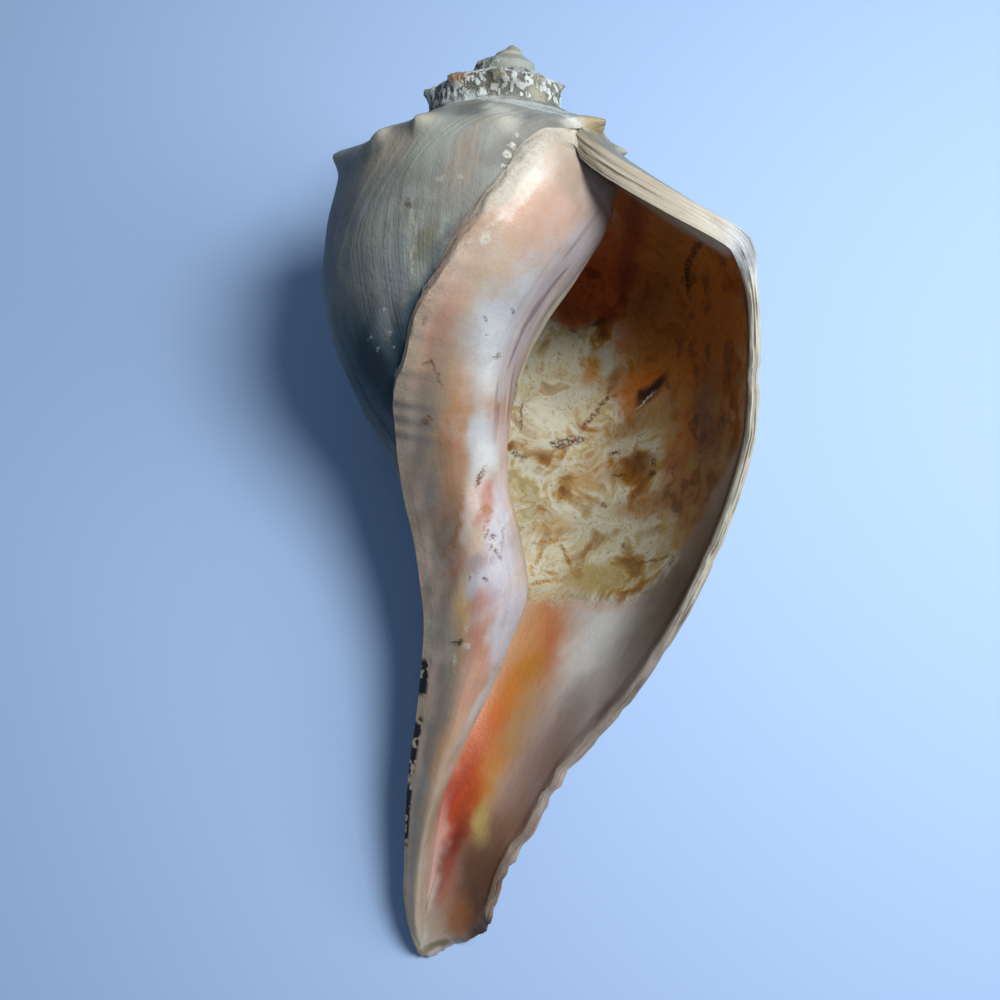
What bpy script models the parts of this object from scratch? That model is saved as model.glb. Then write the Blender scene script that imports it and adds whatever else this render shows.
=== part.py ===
"""Knobbed whelk shell, lying on its back with the mouth up.

The shell is one solid. Its outside is a cone wound around an axis: every
cross-section through the axis is the same outline, made smaller by a fixed
ratio for each turn back from the outer lip. Its inside is a closed tube that
follows the same spiral and opens in the long mouth.

Lengths are in millimetres until the mesh is made, which is in metres.
In the shell's own frame the axis is Y with the apex at the origin, depths run
down the axis from the apex, and azimuths turn around it: 0 is right, 90 is
the front with the mouth. Angles are degrees of growth back from the outer lip.
An outline part is a depth divided by the shoulder radius at its growth angle.
"""
import math

import bmesh
import bpy
import numpy as np

NAME = "shell"
METRES = 0.001

# Spiral
TURN = 360.0
GROWTH_PER_TURN = 2.12
SHOULDER_RADIUS = 48.0
LIP_AZIMUTH = 12.0
TURNS = 4
APEX_DEPTH = 0.2

# The lip reaches further around at its upper end than at the shoulder.
LIP_REACH = 43.0
LIP_REACH_FADE = 70.0

# Outline through the axis, as parts of the shoulder radius: depth, radius
SUTURE_DEPTH = 0.44
SUTURE_RADIUS = 0.475
NEXT_SUTURE = SUTURE_DEPTH * GROWTH_PER_TURN
SHOULDER_DEPTH = 0.777
# Growth angle, then the part at which the whorl there starts: older whorls are stepped
SUTURE_PARTS = [
    (-43, 0.37), (-20, 0.395), (10, 0.43), (40, 0.465), (110, 0.5), (200, 0.53), (350, 0.54),
    (700, 0.51), (1100, 0.46), (1440, 0.4)]
# Growth angle, then how much lower than elsewhere the shoulder is
SHOULDER_DIPS = [
    (-43, -0.035), (0, -0.03), (25, 0.01), (80, 0.02), (185, 0.0), (207, 0.08), (224, 0.12),
    (238, 0.08), (252, 0.04), (290, 0.05), (322, -0.02), (345, 0.02), (370, 0.07), (400, 0.07),
    (450, 0.0), (1440, 0.0)]
DIP_END = 1.5
YOUNG_OUTLINE = [
    (SUTURE_DEPTH, SUTURE_RADIUS), (0.52, 0.61), (0.66, 0.82), (SHOULDER_DEPTH, 0.965),
    (0.86, 0.99), (NEXT_SUTURE, 0.997), (1.25, 1.04), (1.5, 1.045), (1.9, 0.95), (2.3, 0.72),
    (2.65, 0.45), (2.93, 0.35), (3.3, 0.225), (3.85, 0.135), (4.2, 0.14), (4.8, 0.175),
    (5.4, 0.165), (6.0, 0.12)]
LIP_OUTLINE = [
    (SUTURE_DEPTH, SUTURE_RADIUS), (0.52, 0.6), (0.66, 0.845), (SHOULDER_DEPTH, 1.06),
    (0.88, 1.11), (1.25, 1.18), (1.5, 1.198), (1.8, 1.156), (2.25, 1.02), (2.7, 0.795),
    (3.05, 0.56), (3.35, 0.42), (3.6, 0.3), (3.9, 0.24), (6.0, 0.15)]
HIDDEN_OUTLINE = [
    (SUTURE_DEPTH, SUTURE_RADIUS), (0.52, 0.61), (0.66, 0.82), (SHOULDER_DEPTH, 0.965),
    (0.86, 0.99), (NEXT_SUTURE, 0.997), (1.25, 1.03), (1.5, 1.0), (1.9, 0.8), (2.2, 0.58),
    (2.5, 0.42), (2.8, 0.3), (3.3, 0.2), (6.0, 0.1)]
# Growth angles: where the lip's flare has faded, and where the next whorl covers the outline
FLARE_END = 200.0
HIDDEN_START = 230.0
HIDDEN_END = 320.0

# The canal bends a little to the right.
BEND_START = 60.0
BEND_LENGTH = 130.0
BEND = 5.2

# Knobs on the shoulder: growth angle of each, and its height beside a full one
KNOB_PLACES = [
    7.2, 43.0, 79.0, 115.0, 151.0, 188.0, 236.0, 252.0, 284.0, 325.0, 368.0, 409.0, 447.0,
    485.0, 521.0, 557.0, 597.0, 634.0, 672.0, 711.0, 749.0, 787.0, 825.0, 863.0, 901.0, 939.0,
    977.0, 1015.0, 1053.0, 1440.0]
KNOB_HEIGHTS = [
    0.1, 0.9, 1.0, 1.0, 1.0, 1.0, 0.8, 0.9, 0.35, 1.4, 1.6, 1.6, 1.5, 1.5, 1.5, 1.6, 1.6, 1.2,
    1.3, 1.5, 1.4, 1.3, 1.2, 1.1, 1.0, 0.8, 0.6, 0.3, 0.0, 0.0]
KNOB_STEP = 36.0
KNOB_HEIGHT = 0.085
KNOB_WIDTH = 6.5
KNOB_TALLNESS = 0.06
# Outline parts over which a ramp forgets the knobs that it starts on
COVERED_FADE = 0.15

# How the shell lies: the turn around the axis, the rise of the apex, and how deep the
# ground is below the apex.
REST_ROLL = 4.0
REST_TILT = 14.3
REST_DEPTH = 54.2
# The back is a little flat where it touches the ground.
REST_ROUNDING = 0.4
REST_LEAN = 0.6
REST_LEAN_FADE = 0.2
REST_END = 3.0
REST_FADE = 0.35

# Lower edge of the outside: the canal's end, then the edge of the inner lip
# Share of the edge, growth angle, depth
LOWER_EDGE = [
    (0.0, 0, 182), (0.03, 30, 187), (0.07, 75, 192), (0.11, 120, 195), (0.15, 150, 193),
    (0.19, 172, 186), (0.25, 182, 171), (0.32, 188, 153), (0.39, 192, 137), (0.46, 196, 122),
    (0.52, 197, 110), (0.58, 199, 98), (0.64, 206, 85.5), (0.69, 222, 76), (0.75, 244, 65),
    (0.80, 257, 54.5), (0.84, 269, 45), (0.88, 278, 37), (0.91, 286, 31.2), (0.94, 292, 25.8),
    (0.965, 302, 22.2)]

# Growth lines lean towards the lip above LEAN_DEPTH. From LEAN_START to LEAN_FULL, as shares
# of the last turn, their lower ends come to follow the edge of the inner lip there too.
LEAN_DEPTH = 0.9
LEAN_START = 0.5
LEAN_FULL = 0.9

# Wall, and the glaze of the inner lip with its raised edge
WALL = 3.0
LIP_WALL = 2.0
LIP_WALL_FADE = 30.0
GLAZE = 1.1
GLAZE_EDGE = 1.6
GLAZE_SLOPE = 1.8
CREST_START = 0.11
CREST_EASE = 0.12
CANAL_EDGE_INSET = 1.5
LIP_END_INSET = 0.03

# Inner wall of the tube below the whorl before it, as parts of the shoulder radius
PILLAR_OUTLINE = [
    (0.4, 0.2), (2.3, 0.215), (2.5, 0.21), (2.79, 0.2), (3.04, 0.175), (3.27, 0.145),
    (3.52, 0.115), (3.8, 0.09)]
PILLAR_BLEND = 1.5
PILLAR_LEAST = 0.25
TUBE_TIP = 3.62
TUBE_TIP_INSIDE = 2.8
TUBE_TIP_LENGTH = 0.12
TUBE_END = 450.0
TUBE_GAP = 0.4
CORNER_GAP = 0.2

# Inner lip, from the canal to the upper corner of the mouth
# Share of the edge, then x, depth and height of the front, the fold and the turn inside
INNER_LIP = [
    (0.15, (1.9, 189.3, -1.6), (2.1, 184.8, -2.8), (2.2, 180.6, -4.2)),
    (0.19, (0.5, 182.5, 1.2), (1.9, 177.8, -1.6), (2.1, 173.2, -3.0)),
    (0.25, (0.0, 168, 4.2), (2.0, 163.5, -0.1), (2.6, 160, -3.1)),
    (0.32, (1.6, 151, 6.2), (5.4, 147.5, 0.9), (5.2, 145.5, -3.6)),
    (0.39, (4.4, 136, 8.2), (10.0, 133, 2.0), (9.5, 132, -4.4)),
    (0.46, (6.0, 122, 9.5), (13.3, 121, 3.0), (12.0, 121, -4.4)),
    (0.52, (6.0, 110, 10.2), (15.6, 110, 4.0), (13.0, 110, -4.2)),
    (0.58, (2.5, 98, 10.6), (12.5, 98, 5.0), (11.3, 98.5, -3.8)),
    (0.64, (-1.5, 86.5, 11.8), (8.6, 87, 6.0), (8.6, 88, -3.0)),
    (0.69, (-2.5, 77.5, 14.4), (7.5, 78, 7.0), (7.7, 80, -2.0)),
    (0.75, (-2.5, 66.5, 19.0), (7.6, 68, 8.5), (8.2, 70, -1.0)),
    (0.80, (0.0, 56.5, 23.8), (9.4, 59, 10.0), (10.2, 62, 0.0)),
    (0.84, (4.3, 48, 25.8), (12.6, 51, 11.5), (13.4, 54, 0.0)),
    (0.88, (7.8, 40.5, 26.2), (16.8, 44, 12.2), (17.0, 47, 0.0)),
    (0.91, (10.8, 35, 25.4), (19.8, 39, 12.4), (19.2, 42, 0.0)),
    (0.94, (13.2, 30, 24.0), (21.8, 34.2, 12.6), (21.6, 37, 0.8)),
    (0.97, (14.6, 26.3, 21.8), (19.5, 29.2, 14.8), (23.4, 32, 2.5))]
# How far down the tube's inner wall each share of the edge lies
TUBE_SHARES = [
    (0.15, 1.0), (0.25, 0.93), (0.32, 0.87), (0.39, 0.81), (0.46, 0.745), (0.52, 0.67),
    (0.58, 0.59), (0.64, 0.515), (0.69, 0.45), (0.75, 0.39), (0.80, 0.33), (0.84, 0.265),
    (0.88, 0.205), (0.91, 0.16), (0.94, 0.11), (0.97, 0.06), (1.0, 0.0)]
CANAL_SHARE = 0.15
CANAL_EASE = 0.1

# Rings from the mouth inwards, as shares of the way to the first full section
FIRST_SECTION = 90.0
HALF_SECTION = 50.0
HALF_START = 0.2
HALF_EASE = 0.2
RING_SHARES = (0.0, 0.3, 0.55, 0.7, 0.85, 1.0)
RING_SPACING = 1.2
RING_LEAN = 1.5
# The first four ring shares: where the pull into the upper corner starts on the edge, and
# whether the pulled points stay clear of the whorl before
CORNER_PULLS = ((0.965, False), (0.965, False), (0.955, True), (0.955, True))
CORNER_PULL = 0.7

# Look of the worn shell
SHELL_COLOUR = (0.47, 0.36, 0.27, 1.0)
SHELL_ROUGHNESS = 0.5
SHARP_ANGLE = 55.0

# Faces
COLUMNS = 50
SPIRE_ROWS = [SUTURE_DEPTH, 0.58, 0.7, SHOULDER_DEPTH, 0.86, NEXT_SUTURE]
SIDE_ROWS = 15
FULL_ROOM = 1.2
MOUTH_RINGS = 13
TUBE_RINGS = 20
CORNER_TRIES = 300
SLOPE_STEP = 0.01


def smooth(value):
    """Smooth step from 0 to 1."""
    value = np.clip(value, 0.0, 1.0)
    return value * value * (3.0 - 2.0 * value)


def hermite(t, width, start, end, start_slope, end_slope):
    """A cubic piece from its ends and its slopes there."""
    return (start * (1 + 2 * t) * (1 - t) ** 2 + start_slope * width * t * (1 - t) ** 2
            + end * t * t * (3 - 2 * t) + end_slope * width * t * t * (t - 1))


def through(points, value):
    """A smooth curve without overshoot through (x, y) points."""
    xs = np.array([point[0] for point in points], dtype=float)
    ys = np.array([point[1] for point in points], dtype=float)
    value = np.clip(np.asarray(value, dtype=float), xs[0], xs[-1])
    steps = np.diff(xs)
    slopes = np.diff(ys) / steps
    tangents = np.zeros(len(xs))
    tangents[0] = slopes[0]
    tangents[-1] = slopes[-1]
    for i in range(1, len(xs) - 1):
        if slopes[i - 1] * slopes[i] > 0.0:
            before = 2.0 * steps[i] + steps[i - 1]
            after = steps[i] + 2.0 * steps[i - 1]
            tangents[i] = (before + after) / (before / slopes[i - 1] + after / slopes[i])
    cell = np.clip(np.searchsorted(xs, value, side="right") - 1, 0, len(xs) - 2)
    t = (value - xs[cell]) / steps[cell]
    return hermite(t, steps[cell], ys[cell], ys[cell + 1], tangents[cell], tangents[cell + 1])


def shoulder(angle):
    """Shoulder radius at a growth angle."""
    return SHOULDER_RADIUS * GROWTH_PER_TURN ** (-np.asarray(angle, dtype=float) / TURN)


def place(radius, azimuth, depth):
    """A point of the shell's own frame."""
    radius, azimuth, depth = np.broadcast_arrays(radius, azimuth, depth)
    angle = np.radians(azimuth)
    shift = BEND * (np.maximum(depth - BEND_START, 0.0) / BEND_LENGTH) ** 2
    return np.stack([radius * np.cos(angle) + shift, -depth, radius * np.sin(angle)], axis=-1)


def rest_direction():
    """Straight down in the shell's own frame, when it lies on its back."""
    tilt = math.radians(REST_TILT)
    roll = math.radians(REST_ROLL)
    return np.array([math.cos(tilt) * math.sin(roll), -math.sin(tilt), -math.cos(tilt) * math.cos(roll)])


def real_part(angle, row):
    """Outline part of a row of the outline tables, after the ramp and the shoulder have moved."""
    start = through(SUTURE_PARTS, angle)
    ridge = SHOULDER_DEPTH + through(SHOULDER_DIPS, angle)
    ramp = start + (row - SUTURE_DEPTH) * (ridge - start) / (SHOULDER_DEPTH - SUTURE_DEPTH)
    side = ridge + (row - SHOULDER_DEPTH) * (DIP_END - ridge) / (DIP_END - SHOULDER_DEPTH)
    return np.where(row < SHOULDER_DEPTH, ramp, np.where(row < DIP_END, side, row))


def table_row(angle, part):
    """Row of the outline tables that lies at an outline part."""
    start = through(SUTURE_PARTS, angle)
    ridge = SHOULDER_DEPTH + through(SHOULDER_DIPS, angle)
    ramp = SUTURE_DEPTH + (part - start) * (SHOULDER_DEPTH - SUTURE_DEPTH) / (ridge - start)
    side = SHOULDER_DEPTH + (part - ridge) * (DIP_END - SHOULDER_DEPTH) / (DIP_END - ridge)
    return np.where(part < ridge, ramp, np.where(part < DIP_END, side, part))


def round_outline(angle, part):
    """Radius of the outside as a part of the shoulder radius, without the flatter back."""
    angle = np.asarray(angle, dtype=float)
    row = table_row(angle, part)
    flare = 1.0 - smooth(angle / FLARE_END)
    hidden = smooth((angle - HIDDEN_START) / (HIDDEN_END - HIDDEN_START))
    young = through(YOUNG_OUTLINE, row)
    young = young + (through(HIDDEN_OUTLINE, row) - young) * hidden
    return young + (through(LIP_OUTLINE, row) - young) * flare


def outline(angle, part):
    """Radius of the outside as a part of the shoulder radius."""
    radius = round_outline(angle, part)
    size = shoulder(angle)
    azimuth = LIP_AZIMUTH - np.asarray(angle, dtype=float)
    down = rest_direction()
    over = place(size * radius, azimuth, size * part) @ down - REST_DEPTH
    over = 0.5 * (over + np.sqrt(over ** 2 + REST_ROUNDING ** 2))
    lean = down[0] * np.cos(np.radians(azimuth)) + down[2] * np.sin(np.radians(azimuth))
    share = smooth((lean - REST_LEAN) / REST_LEAN_FADE) * (1.0 - smooth((part - REST_END) / REST_FADE))
    return radius - over * share / (size * np.maximum(lean, REST_LEAN))


def own_knobs(angle, part):
    """Height of a whorl's own shoulder knobs as a part of its shoulder radius."""
    count = np.interp(angle, KNOB_PLACES, np.arange(len(KNOB_PLACES)))
    nearest = np.round(count)
    along = (count - nearest) * KNOB_STEP / KNOB_WIDTH
    height = KNOB_HEIGHT * np.take(KNOB_HEIGHTS, nearest.astype(int))
    down = (table_row(angle, part) - SHOULDER_DEPTH) / KNOB_TALLNESS
    return height * np.exp(-along ** 2 - down ** 2)


def knobs(angle, part):
    """Height of the knobs, and of those of the whorl before under the start of the next one."""
    covered = own_knobs(angle + TURN, part * GROWTH_PER_TURN) / GROWTH_PER_TURN
    above = part - through(SUTURE_PARTS, angle)
    return own_knobs(angle, part) + covered * (1.0 - smooth(above / COVERED_FADE))


def outside(angle, part):
    """A point on the outside."""
    angle = np.asarray(angle, dtype=float)
    part = np.asarray(part, dtype=float)
    size = shoulder(angle)
    radius = size * (outline(angle, part) + knobs(angle, part))
    return place(radius, LIP_AZIMUTH - angle, size * part)


def wall(angle):
    """Thickness of the outer wall."""
    edge = np.exp(-np.maximum(angle, 0.0) / LIP_WALL_FADE)
    return (WALL + (LIP_WALL - WALL) * edge) * np.sqrt(shoulder(angle) / SHOULDER_RADIUS)


def inner_face(angle, part):
    """Radius and depth of the inner face of the outer wall."""
    size = shoulder(angle)
    rise = outline(angle, part + SLOPE_STEP) - outline(angle, part - SLOPE_STEP)
    slope = rise / (2.0 * SLOPE_STEP)
    length = np.sqrt(1.0 + slope ** 2)
    thick = wall(angle)
    radius = size * outline(angle, part) - thick / length
    depth = size * part + thick * slope / length
    return radius, depth


def inner_wall(angle, depth):
    """Radius of the tube's inner wall: the whorl before, and the pillar below it."""
    before = shoulder(angle + TURN)
    whorl = before * outline(angle + TURN, depth / before) + GLAZE
    size = shoulder(angle)
    pillar = size * through(PILLAR_OUTLINE, depth / size)
    gap = np.clip(0.5 + 0.5 * (whorl - pillar) / PILLAR_BLEND, 0.0, 1.0)
    return pillar + (whorl - pillar) * gap + PILLAR_BLEND * gap * (1.0 - gap) * 0.5


def tube_tip(angle):
    """Outline part at which the tube's section ends below."""
    inside = smooth((angle - FLARE_END) / (HIDDEN_END - FLARE_END))
    return TUBE_TIP + (TUBE_TIP_INSIDE - TUBE_TIP) * inside


def upper_corner(angle):
    """Outline part at which the ramp's inner face leaves the whorl before it."""
    start = float(real_part(angle, SUTURE_DEPTH))
    end = float(real_part(angle, SHOULDER_DEPTH))
    parts = np.linspace(start, end, CORNER_TRIES)
    angles = np.full(parts.shape, float(angle))
    radius, depth = inner_face(angles, parts)
    clear = radius - inner_wall(angles, depth) - CORNER_GAP
    first = int(np.argmax(clear > 0.0))
    if first == 0:
        return parts[0]
    share = clear[first - 1] / (clear[first - 1] - clear[first])
    return parts[first - 1] + (parts[first] - parts[first - 1]) * share


def reach(angle):
    """How much further around the suture's end of a growth line is."""
    return LIP_REACH * np.exp(-np.asarray(angle, dtype=float) / LIP_REACH_FADE)


def lower_edge(share):
    """Growth angle and depth on the lower edge of the last turn."""
    last = float(real_part(-LIP_REACH, SUTURE_DEPTH) * shoulder(-LIP_REACH))
    edge = LOWER_EDGE + [(1.0, TURN - LIP_REACH, last)]
    angle = through([(point[0], point[1]) for point in edge], share)
    depth = through([(point[0], point[2]) for point in edge], share)
    return angle, depth


def column(angle, count):
    """Growth angles and outline parts of one column, from its suture to its lower edge."""
    share = angle / TURN
    first = float(real_part(angle - reach(angle), SUTURE_DEPTH))
    if angle < TURN:
        end, depth = lower_edge(share)
        last = float(depth) / float(shoulder(end))
    else:
        end = angle - reach(angle - TURN)
        last = GROWTH_PER_TURN * float(real_part(end - TURN, SUTURE_DEPTH))
    rows = np.array(SPIRE_ROWS, dtype=float)
    parts = real_part(angle, rows)
    ridge = float(real_part(angle, SHOULDER_DEPTH))
    ramp = first + (parts - parts[0]) * (ridge - first) / (ridge - parts[0])
    parts = np.where(rows < SHOULDER_DEPTH, ramp, parts)
    if count > len(SPIRE_ROWS):
        below = np.linspace(parts[-1], last, count - len(SPIRE_ROWS) + 1)
        room = smooth((last - NEXT_SUTURE) / FULL_ROOM)
        even = np.linspace(first, last, count)
        parts = even + (np.concatenate([parts, below[1:]]) - even) * room
    else:
        side = ridge + (parts - ridge) * (last - ridge) / (parts[-1] - ridge)
        parts = np.where(parts > ridge, side, parts)
    near = 1.0 - smooth((parts - parts[0]) / (LEAN_DEPTH - parts[0]))
    settled = last + (LEAN_DEPTH - last) * smooth((share - LEAN_START) / (LEAN_FULL - LEAN_START))
    far = smooth((parts - parts[0]) / (settled - parts[0]))
    return angle - reach(angle) * near + (end - angle) * far, parts


def across(stations, points, value):
    """A smooth curve through points at the stations."""
    cell = int(np.searchsorted(stations, value, side="right")) - 1
    cell = min(max(cell, 0), len(stations) - 2)
    width = stations[cell + 1] - stations[cell]

    def slope(i):
        low = max(i - 1, 0)
        high = min(i + 1, len(stations) - 1)
        return (points[high] - points[low]) / (stations[high] - stations[low])

    t = (value - stations[cell]) / width
    return hermite(t, width, points[cell], points[cell + 1], slope(cell), slope(cell + 1))


def guide(which, shares):
    """Points along one of the three guide curves of the inner lip."""
    axes = []
    for axis in range(3):
        axes.append(through([(row[0], row[1 + which][axis]) for row in INNER_LIP], shares))
    return np.stack([axes[0], -axes[1], axes[2]], axis=-1)


def section(angle, steps, shares):
    """A section of the tube through the axis, as its outer and its inner side."""
    corner = upper_corner(angle)
    parts = corner + (float(tube_tip(angle)) - corner) * steps
    radius, depth = inner_face(np.full(parts.shape, float(angle)), parts)
    tip_depth = depth[-1] + TUBE_TIP_LENGTH * float(shoulder(angle))
    lower = depth[0] + (tip_depth - depth[0]) * through(TUBE_SHARES, shares)
    inner = inner_wall(np.full(lower.shape, float(angle)), lower)
    inner = np.minimum(inner, np.interp(lower, depth, radius) - TUBE_GAP)
    inner = np.maximum(inner, PILLAR_LEAST)
    tip_radius = (float(np.interp(CANAL_SHARE, shares, inner)) + radius[-1]) / 2.0
    inner = tip_radius + (inner - tip_radius) * smooth((shares - CANAL_SHARE) / CANAL_EASE)
    turn = np.clip(shares / CANAL_SHARE, 0.0, 1.0) * math.pi / 2
    canal = shares < CANAL_SHARE
    lower = np.where(canal, depth[-1] + (tip_depth - depth[-1]) * np.sin(turn), lower)
    inner = np.where(canal, tip_radius + (radius[-1] - tip_radius) * np.cos(turn), inner)
    azimuth = LIP_AZIMUTH - angle
    return place(radius, azimuth, depth), place(inner, azimuth, lower)


def mouth_side(share, steps):
    """Inner face of the outer lip and wall on one ring, with its last growth angle and depth."""
    angle = FIRST_SECTION * share ** RING_SPACING
    lean = LIP_REACH * (1.0 - share) ** RING_LEAN
    corner = upper_corner(angle - lean)
    lip_end = float(lower_edge(0.0)[1]) / SHOULDER_RADIUS - LIP_END_INSET
    end = lip_end + (float(tube_tip(angle)) - lip_end) * share
    parts = corner + (end - corner) * steps
    angles = angle - lean * (1.0 - smooth((parts - corner) / (LEAN_DEPTH - corner)))
    radius, depth = inner_face(angles, parts)
    return place(radius, LIP_AZIMUTH - angles, depth), float(angles[-1]), float(depth[-1])


def canal_floor(share, lip_angle, lip_depth, inner, shares):
    """Lay the canal's part of one ring on the inner face of the wall, up to the inner lip."""
    base = inner[np.argmin(np.abs(shares - CANAL_SHARE))]
    axis = float(place(0.0, 0.0, -base[1])[0])
    base_angle = (LIP_AZIMUTH - math.degrees(math.atan2(base[2], base[0] - axis))) % TURN
    own = inner_face(np.array([base_angle]), np.array([-base[1] / float(shoulder(base_angle))]))[0][0]
    inset = math.hypot(base[0] - axis, base[2]) / own
    first_depth = float(lower_edge(0.0)[1])
    last_depth = float(lower_edge(CANAL_SHARE)[1])
    for i in np.flatnonzero(shares < CANAL_SHARE):
        t = shares[i] / CANAL_SHARE
        angle = lip_angle + (base_angle - lip_angle) * t
        bulge = float(lower_edge(shares[i])[1]) - first_depth * (1 - t) - last_depth * t
        depth = lip_depth + (-base[1] - lip_depth) * t + bulge * (1.0 - share) ** 2
        radius = inner_face(np.array([angle]), np.array([depth / float(shoulder(angle))]))[0][0]
        radius = radius * (1.0 + (inset - 1.0) * float(smooth(t)))
        inner[i] = place(radius, LIP_AZIMUTH - angle, depth)


def glaze_crest(shares):
    """Edge of the inner lip: the rim's own edge, raised and moved in by the glaze."""
    angle, depth = lower_edge(shares)
    radius = shoulder(angle) * outline(angle, depth / shoulder(angle))
    azimuth = LIP_AZIMUTH - angle
    raised = smooth((shares - CREST_START) / CREST_EASE)
    lift = -LIP_WALL + (GLAZE_EDGE + LIP_WALL) * raised
    edge = place(radius, azimuth, depth)
    crest = place(radius + lift, azimuth, depth - CANAL_EDGE_INSET * (1.0 - raised))
    along = np.gradient(edge, axis=0)
    along = along / np.linalg.norm(along, axis=1)[:, None]
    turn = np.radians(azimuth)
    outward = np.stack([np.cos(turn), np.zeros(len(turn)), np.sin(turn)], axis=-1)
    return crest + np.cross(along, outward) * (GLAZE_SLOPE * raised)[:, None]


def into_corner(curve, corner, start, shares, keep_clear):
    """Draw the upper end of one curve of the inner lip towards the mouth's upper corner."""
    near = smooth((shares - start) / (1.0 - start)) * CORNER_PULL
    curve = curve + (corner - curve) * near[:, None]
    if not keep_clear:
        return curve
    azimuth = np.degrees(np.arctan2(curve[:, 2], curve[:, 0]))
    radius = np.hypot(curve[:, 0], curve[:, 2])
    least = inner_wall(LIP_AZIMUTH - azimuth, -curve[:, 1])
    grow = np.where(near > 0.0, np.maximum(radius, least) / radius, 1.0)
    return curve * np.stack([grow, np.ones(len(grow)), grow], axis=-1)


def inner_lip_curves(steps, shares):
    """Curves that the rings of the inner lip pass through, from its edge to the first section."""
    half = section(HALF_SECTION, steps, shares)[1]
    first = section(FIRST_SECTION, steps, shares)[1]
    curves = [glaze_crest(shares), guide(0, shares), guide(1, shares), guide(2, shares)]
    clear = smooth((shares - HALF_START) / HALF_EASE)[:, None]
    half = half * clear + (curves[3] + first) / 2.0 * (1.0 - clear)
    for i, (start, keep_clear) in enumerate(CORNER_PULLS):
        ring_share = RING_SHARES[i]
        corner = mouth_side(ring_share, steps)[0][0]
        curves[i] = into_corner(curves[i], corner, start, shares, keep_clear)
    return curves + [half, first]


def zip_faces(left, right, left_keys, right_keys):
    """Triangles between two lines of vertices, in the order of their keys."""
    faces = []
    i = 0
    j = 0
    while i < len(left) - 1 or j < len(right) - 1:
        if j == len(right) - 1 or (i < len(left) - 1 and left_keys[i + 1] <= right_keys[j + 1]):
            faces.append((left[i], left[i + 1], right[j]))
            i += 1
        else:
            faces.append((left[i], right[j + 1], right[j]))
            j += 1
    return faces


def add_outside(vertices, faces):
    """Add the outside, and return its rim around the mouth with the rows of the lip's column."""
    count = TURNS * COLUMNS
    columns = []
    for i in range(count + 1):
        rows = len(SPIRE_ROWS) + (SIDE_ROWS if i <= COLUMNS else 0)
        angles, parts = column(i * TURN / COLUMNS, rows)
        points = list(outside(angles, parts))
        line = []
        if i >= COLUMNS:
            points.pop()
        for point in points:
            line.append(len(vertices))
            vertices.append(point)
        if i >= COLUMNS:
            line.append(columns[i - COLUMNS][0])
        columns.append(line)
    for left, right in zip(columns, columns[1:]):
        if len(left) == len(right):
            for j in range(len(left) - 1):
                faces.append((left[j], left[j + 1], right[j + 1], right[j]))
        else:
            keys = [np.linspace(0.0, 1.0, len(line)) for line in (left, right)]
            faces.extend(zip_faces(left, right, keys[0], keys[1]))

    apex = len(vertices)
    vertices.append(place(0.0, 0.0, APEX_DEPTH))
    loop = [line[0] for line in columns[count - COLUMNS:]] + columns[count][1:-1]
    for i in range(len(loop)):
        faces.append((loop[i], loop[(i + 1) % len(loop)], apex))
    return list(columns[0]) + [line[-1] for line in columns[1:COLUMNS]]


def add_inside(vertices, faces, rim):
    """Add the inside: rings from the rim through the mouth and up the tube, and its far end."""
    lip_parts = column(0.0, len(SPIRE_ROWS) + SIDE_ROWS)[1]
    steps = (lip_parts - lip_parts[0]) / (lip_parts[-1] - lip_parts[0])
    shares = np.arange(1, COLUMNS) / COLUMNS
    curves = inner_lip_curves(steps, shares)
    rings = []
    for k in range(MOUTH_RINGS):
        share = k / MOUTH_RINGS
        outer, lip_angle, lip_depth = mouth_side(share, steps)
        inner = across(RING_SHARES, curves, share)
        canal_floor(share, lip_angle, lip_depth, inner, shares)
        rings.append(np.concatenate([outer, inner]))
    for angle in np.linspace(FIRST_SECTION, TUBE_END, TUBE_RINGS + 1):
        rings.append(np.concatenate(section(angle, steps, shares)))
    before = rim
    for ring in rings:
        line = list(range(len(vertices), len(vertices) + len(ring)))
        vertices.extend(ring)
        for i in range(len(line)):
            after = (i + 1) % len(line)
            faces.append((before[i], before[after], line[after], line[i]))
        before = line
    outer_side = before[:len(steps)]
    inner_side = [before[0]] + before[:len(steps) - 1:-1]
    depths = []
    for side in (outer_side, inner_side):
        depths.append([-vertices[vertex][1] for vertex in side])
    faces.extend(zip_faces(outer_side, inner_side, depths[0], depths[1])[1:])


def lie_down(vertices):
    """Turn the shell onto its back, with the middle of its underside at the origin."""
    up = -rest_direction()
    along = np.array([0.0, 1.0, 0.0])
    along = along - up * np.dot(along, up)
    along = along / np.linalg.norm(along)
    turned = vertices @ np.stack([np.cross(along, up), along, up], axis=1)
    low = turned.min(axis=0)
    high = turned.max(axis=0)
    return turned - np.array([(low[0] + high[0]) / 2.0, (low[1] + high[1]) / 2.0, low[2]])


def shell_material():
    """Worn, chalky shell."""
    material = bpy.data.materials.new(NAME)
    material.use_nodes = True
    surface = material.node_tree.nodes["Principled BSDF"]
    surface.inputs["Base Color"].default_value = SHELL_COLOUR
    surface.inputs["Roughness"].default_value = SHELL_ROUGHNESS
    surface.inputs["Metallic"].default_value = 0.0
    material.diffuse_color = SHELL_COLOUR
    return material


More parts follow.
